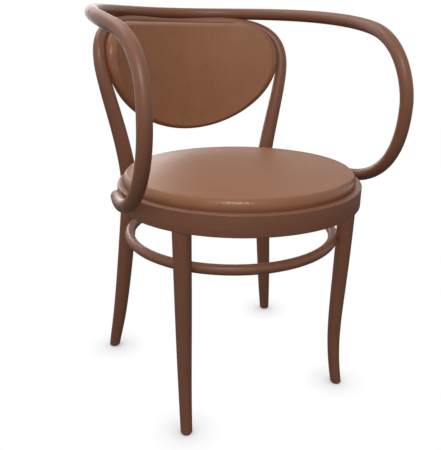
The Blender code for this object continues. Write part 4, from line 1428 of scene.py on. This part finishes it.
def roll(angles, size, start):
    """Rows round a quarter roll that starts at one inset and depth: a face at 90 degrees, the side at 0."""
    turns = [math.radians(angle) for angle in angles]
    return [back_row(start + size * (1.0 - math.cos(t)), start + size * (1.0 - math.sin(t))) for t in turns]


def back_face(share, turn):
    swell = (BACK_CROWN - BACK_PUFF) * (1.0 - share**2)
    return back_place(share, turn, BACK_CREASE_INSET, BACK_THICKNESS + swell)


def back_pad_rows():
    """Rows from the border of the face round to the pocket of the board."""
    rows = []
    for angle in BACK_BORDER_ANGLES:
        turn = math.radians(angle)
        most = BACK_CREASE_INSET if angle > 0 else BACK_REAR_INSET
        inset = most * (1.0 - math.cos(turn)) / (1.0 - math.cos(BACK_FOLD))
        rows.append(back_row(inset, BACK_THICKNESS / 2 * (1.0 + math.sin(turn) / math.sin(BACK_FOLD))))
    rows += [back_row(BACK_TURN_IN, 0.0), back_row(BACK_TURN_IN, COVER_THICKNESS)]
    rows += roll(BACK_POCKET_ANGLES, BACK_REAR_ROLL - COVER_THICKNESS, COVER_THICKNESS)
    return rows + [back_row(COVER_THICKNESS, BACK_BOARD_FRONT + GAP)]


def back_hold(place):
    """Free on the swell of the face, held from near the crease outwards and behind."""
    reach = BACK_BEND + place[1] - BACK_SEAT - BACK_LEAN * (place[2] - BACK_WIDEST)
    depth = BACK_BEND - math.hypot(place[0], reach)
    return within(1.0 - (depth - BACK_THICKNESS - BACK_HOLD_START) / BACK_HOLD_SPAN)


back_floor = back_sheet(COVER_THICKNESS, BACK_BOARD_FRONT + GAP)
back_pad = build_pad("back_pad", back_face, back_pad_rows(), back_floor, LEATHER)
puff(back_pad, back_hold, BACK_PUFF)
refine(back_pad)
hand_over(back_pad, "brown_leather", "back_cover", "back_foam")

# %% [markdown]
# ## Back board
# The board of the back pad is thin plywood glued up in a bent mould. It has the outline and the bend of the
# pad, fits inside the turned-in leather and is rounded at its rear edge, so the same grid and rows draw it.

# %% Back board
BACK_BOARD_ANGLES = (60, 30, 0)
BACK_BOARD_ROLL = BACK_REAR_ROLL - BACK_BOARD_REAR

board_rear = back_sheet(BACK_BOARD_REAR + BACK_BOARD_ROLL, BACK_BOARD_REAR)
board_front = back_sheet(BACK_BOARD_REAR, BACK_BOARD_FRONT)
board_rows = roll(BACK_BOARD_ANGLES, BACK_BOARD_ROLL, BACK_BOARD_REAR)
board_rows.append(back_row(BACK_BOARD_REAR, BACK_BOARD_FRONT))
back_board = build_pad("back_board_panel", board_rear, board_rows, board_front, STAINED_PLYWOOD)
soften(back_board.data)
hand_over(back_board, "stained_plywood", "back_board")

# %% [markdown]
# ## Small pieces set on points
# Screws and glides repeat, and each has a wide part and a thin one: a head and a shank, or a disc and a nail.
# A geometry tree sets both on every point, turned to the point's axis and scaled to its size, so that one
# drawn shape serves all.

# %% Set pieces on points


def setting_tree():
    sockets = [("Head", "Object"), ("Shank", "Object"), ("Finish", "Material")]
    build, given = new_tree("set_on_points", sockets)

    def named(name):
        node = build.add("GeometryNodeInputNamedAttribute", {"Name": name}, data_type="FLOAT_VECTOR")
        return node.outputs["Attribute"]

    turn = build.add("FunctionNodeAlignRotationToVector", {"Vector": named("axis")}, axis="Z")
    joined = build.add("GeometryNodeJoinGeometry")
    for part, scale in (("Head", "head_scale"), ("Shank", "shank_scale")):
        shape = build.add("GeometryNodeObjectInfo", {"Object": given[part]}).outputs["Geometry"]
        placed = build.add("GeometryNodeInstanceOnPoints", {
            "Points": given["Geometry"], "Instance": shape, "Rotation": turn.outputs["Rotation"],
            "Scale": named(scale)})
        build.put(joined.inputs["Geometry"], placed.outputs["Instances"])
    return end_tree(build, joined.outputs["Geometry"], given["Finish"])


SETTING_TREE = setting_tree()


def set_on_points(name, spots, head, shank, finish):
    """Pieces at spots, each a place, an axis, a head scale and a shank scale."""
    mesh = bpy.data.meshes.new(name)
    mesh.from_pydata([spot[0] for spot in spots], [], [])
    for index, title in enumerate(("axis", "head_scale", "shank_scale"), 1):
        write_layer(mesh, title, "FLOAT_VECTOR", [spot[index] for spot in spots])
    piece = grow_tree(add_object(name, mesh), SETTING_TREE, Head=head, Shank=shank, Finish=finish)
    for part in (head, shank):
        bpy.data.objects.remove(part, do_unlink=True)
    soften(piece.data)
    return piece


print("tree", SETTING_TREE.name)

# %% [markdown]
# ## Screws
# All screws are alike: a countersunk head with a cross recess, and a shank. The head is turned with a radius
# of 1 and its recess is cut with two bars. The points carry the places, axes and sizes that were read from
# the model.

# %% Screws
HEAD_EDGE = 0.06
HEAD_STEPS = 32
HEAD_DEPTH = 1.0 - SHANK_SHARE + HEAD_EDGE
HEAD_PROFILE = [(0.0, 0.0), (1.0 - HEAD_EDGE, 0.0), (1.0, -HEAD_EDGE),
                (SHANK_SHARE, -HEAD_DEPTH), (0.0, -HEAD_DEPTH)]
SHANK_PROFILE = [(0.0, -0.05), (SHANK_SHARE, -0.05), (SHANK_SHARE, -0.85), (0.0, -1.0)]
PIN_STEPS = 16
RECESS_LENGTH = 1.1
RECESS_WIDTH = 0.26
RECESS_DEPTH = 0.34


def screw_head():
    """A countersunk head of radius 1, its face at height 0, with a cross recess."""
    tools = []
    for x, y in ((RECESS_LENGTH, RECESS_WIDTH), (RECESS_WIDTH, RECESS_LENGTH)):
        shape = bmesh.new()
        bmesh.ops.create_cube(shape, size=1.0, matrix=Matrix.Diagonal((x, y, 2 * RECESS_DEPTH, 1.0)))
        tools.append(drawn("recess", shape))
    head = lathe("head", HEAD_PROFILE, HEAD_STEPS)
    cut(head, *tools)
    return head


def screw_spot(name):
    head, axis, length, radius = SCREWS[name]
    return head, axis, (radius, radius, radius), (radius, radius, length)


spots = [screw_spot(name) for name in SCREW_NODES]
screws = set_on_points("screws", spots, screw_head(), lathe("shank", SHANK_PROFILE, PIN_STEPS), STEEL)
hand_over(screws, "steel", *SCREW_NODES)

# %% [markdown]
# ## Glides
# A glide is a rounded nylon disc on a nail that is driven into the foot. The same tree sets it upright under
# each foot, as wide and as high as the model's own.

# %% Glides
DISC_PROFILE = [(0.0, 1.0), (0.95, 1.0), (1.0, 0.88), (1.0, 0.3), (0.97, 0.12), (0.9, 0.0), (0.0, 0.0)]
DISC_STEPS = 40
NAIL_PROFILE = [(0.0, 1.0), (0.15, 0.95), (0.15, 0.1), (0.0, 0.1)]
GLIDE_NODES = sorted(name for name in nodes if name.endswith("_glide"))


def glide_spot(name):
    low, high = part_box(name)
    radius = (high.x - low.x) / 2
    middle = (low + high) / 2
    disc, nail = (radius, radius, GLIDE_HEIGHT), (radius, radius, high.z)
    return (middle.x, middle.y, 0.0), (0.0, 0.0, 1.0), disc, nail


spots = [glide_spot(name) for name in GLIDE_NODES]
disc, nail = lathe("disc", DISC_PROFILE, DISC_STEPS), lathe("nail", NAIL_PROFILE, PIN_STEPS)
glides = set_on_points("glides", spots, disc, nail, NYLON)
hand_over(glides, "nylon", *GLIDE_NODES)

# %% [markdown]
# ## Dowels
# A glued dowel holds each splice. Nothing of it shows, so it keeps the model's solid with a bare beech
# finish.

# %% Dowels
DOWEL_NODES = ("left_splice_dowel", "right_splice_dowel")

for name in DOWEL_NODES:
    for slot in nodes[name].material_slots:
        slot.material = RAW_BEECH
print("dowels", DOWEL_NODES)
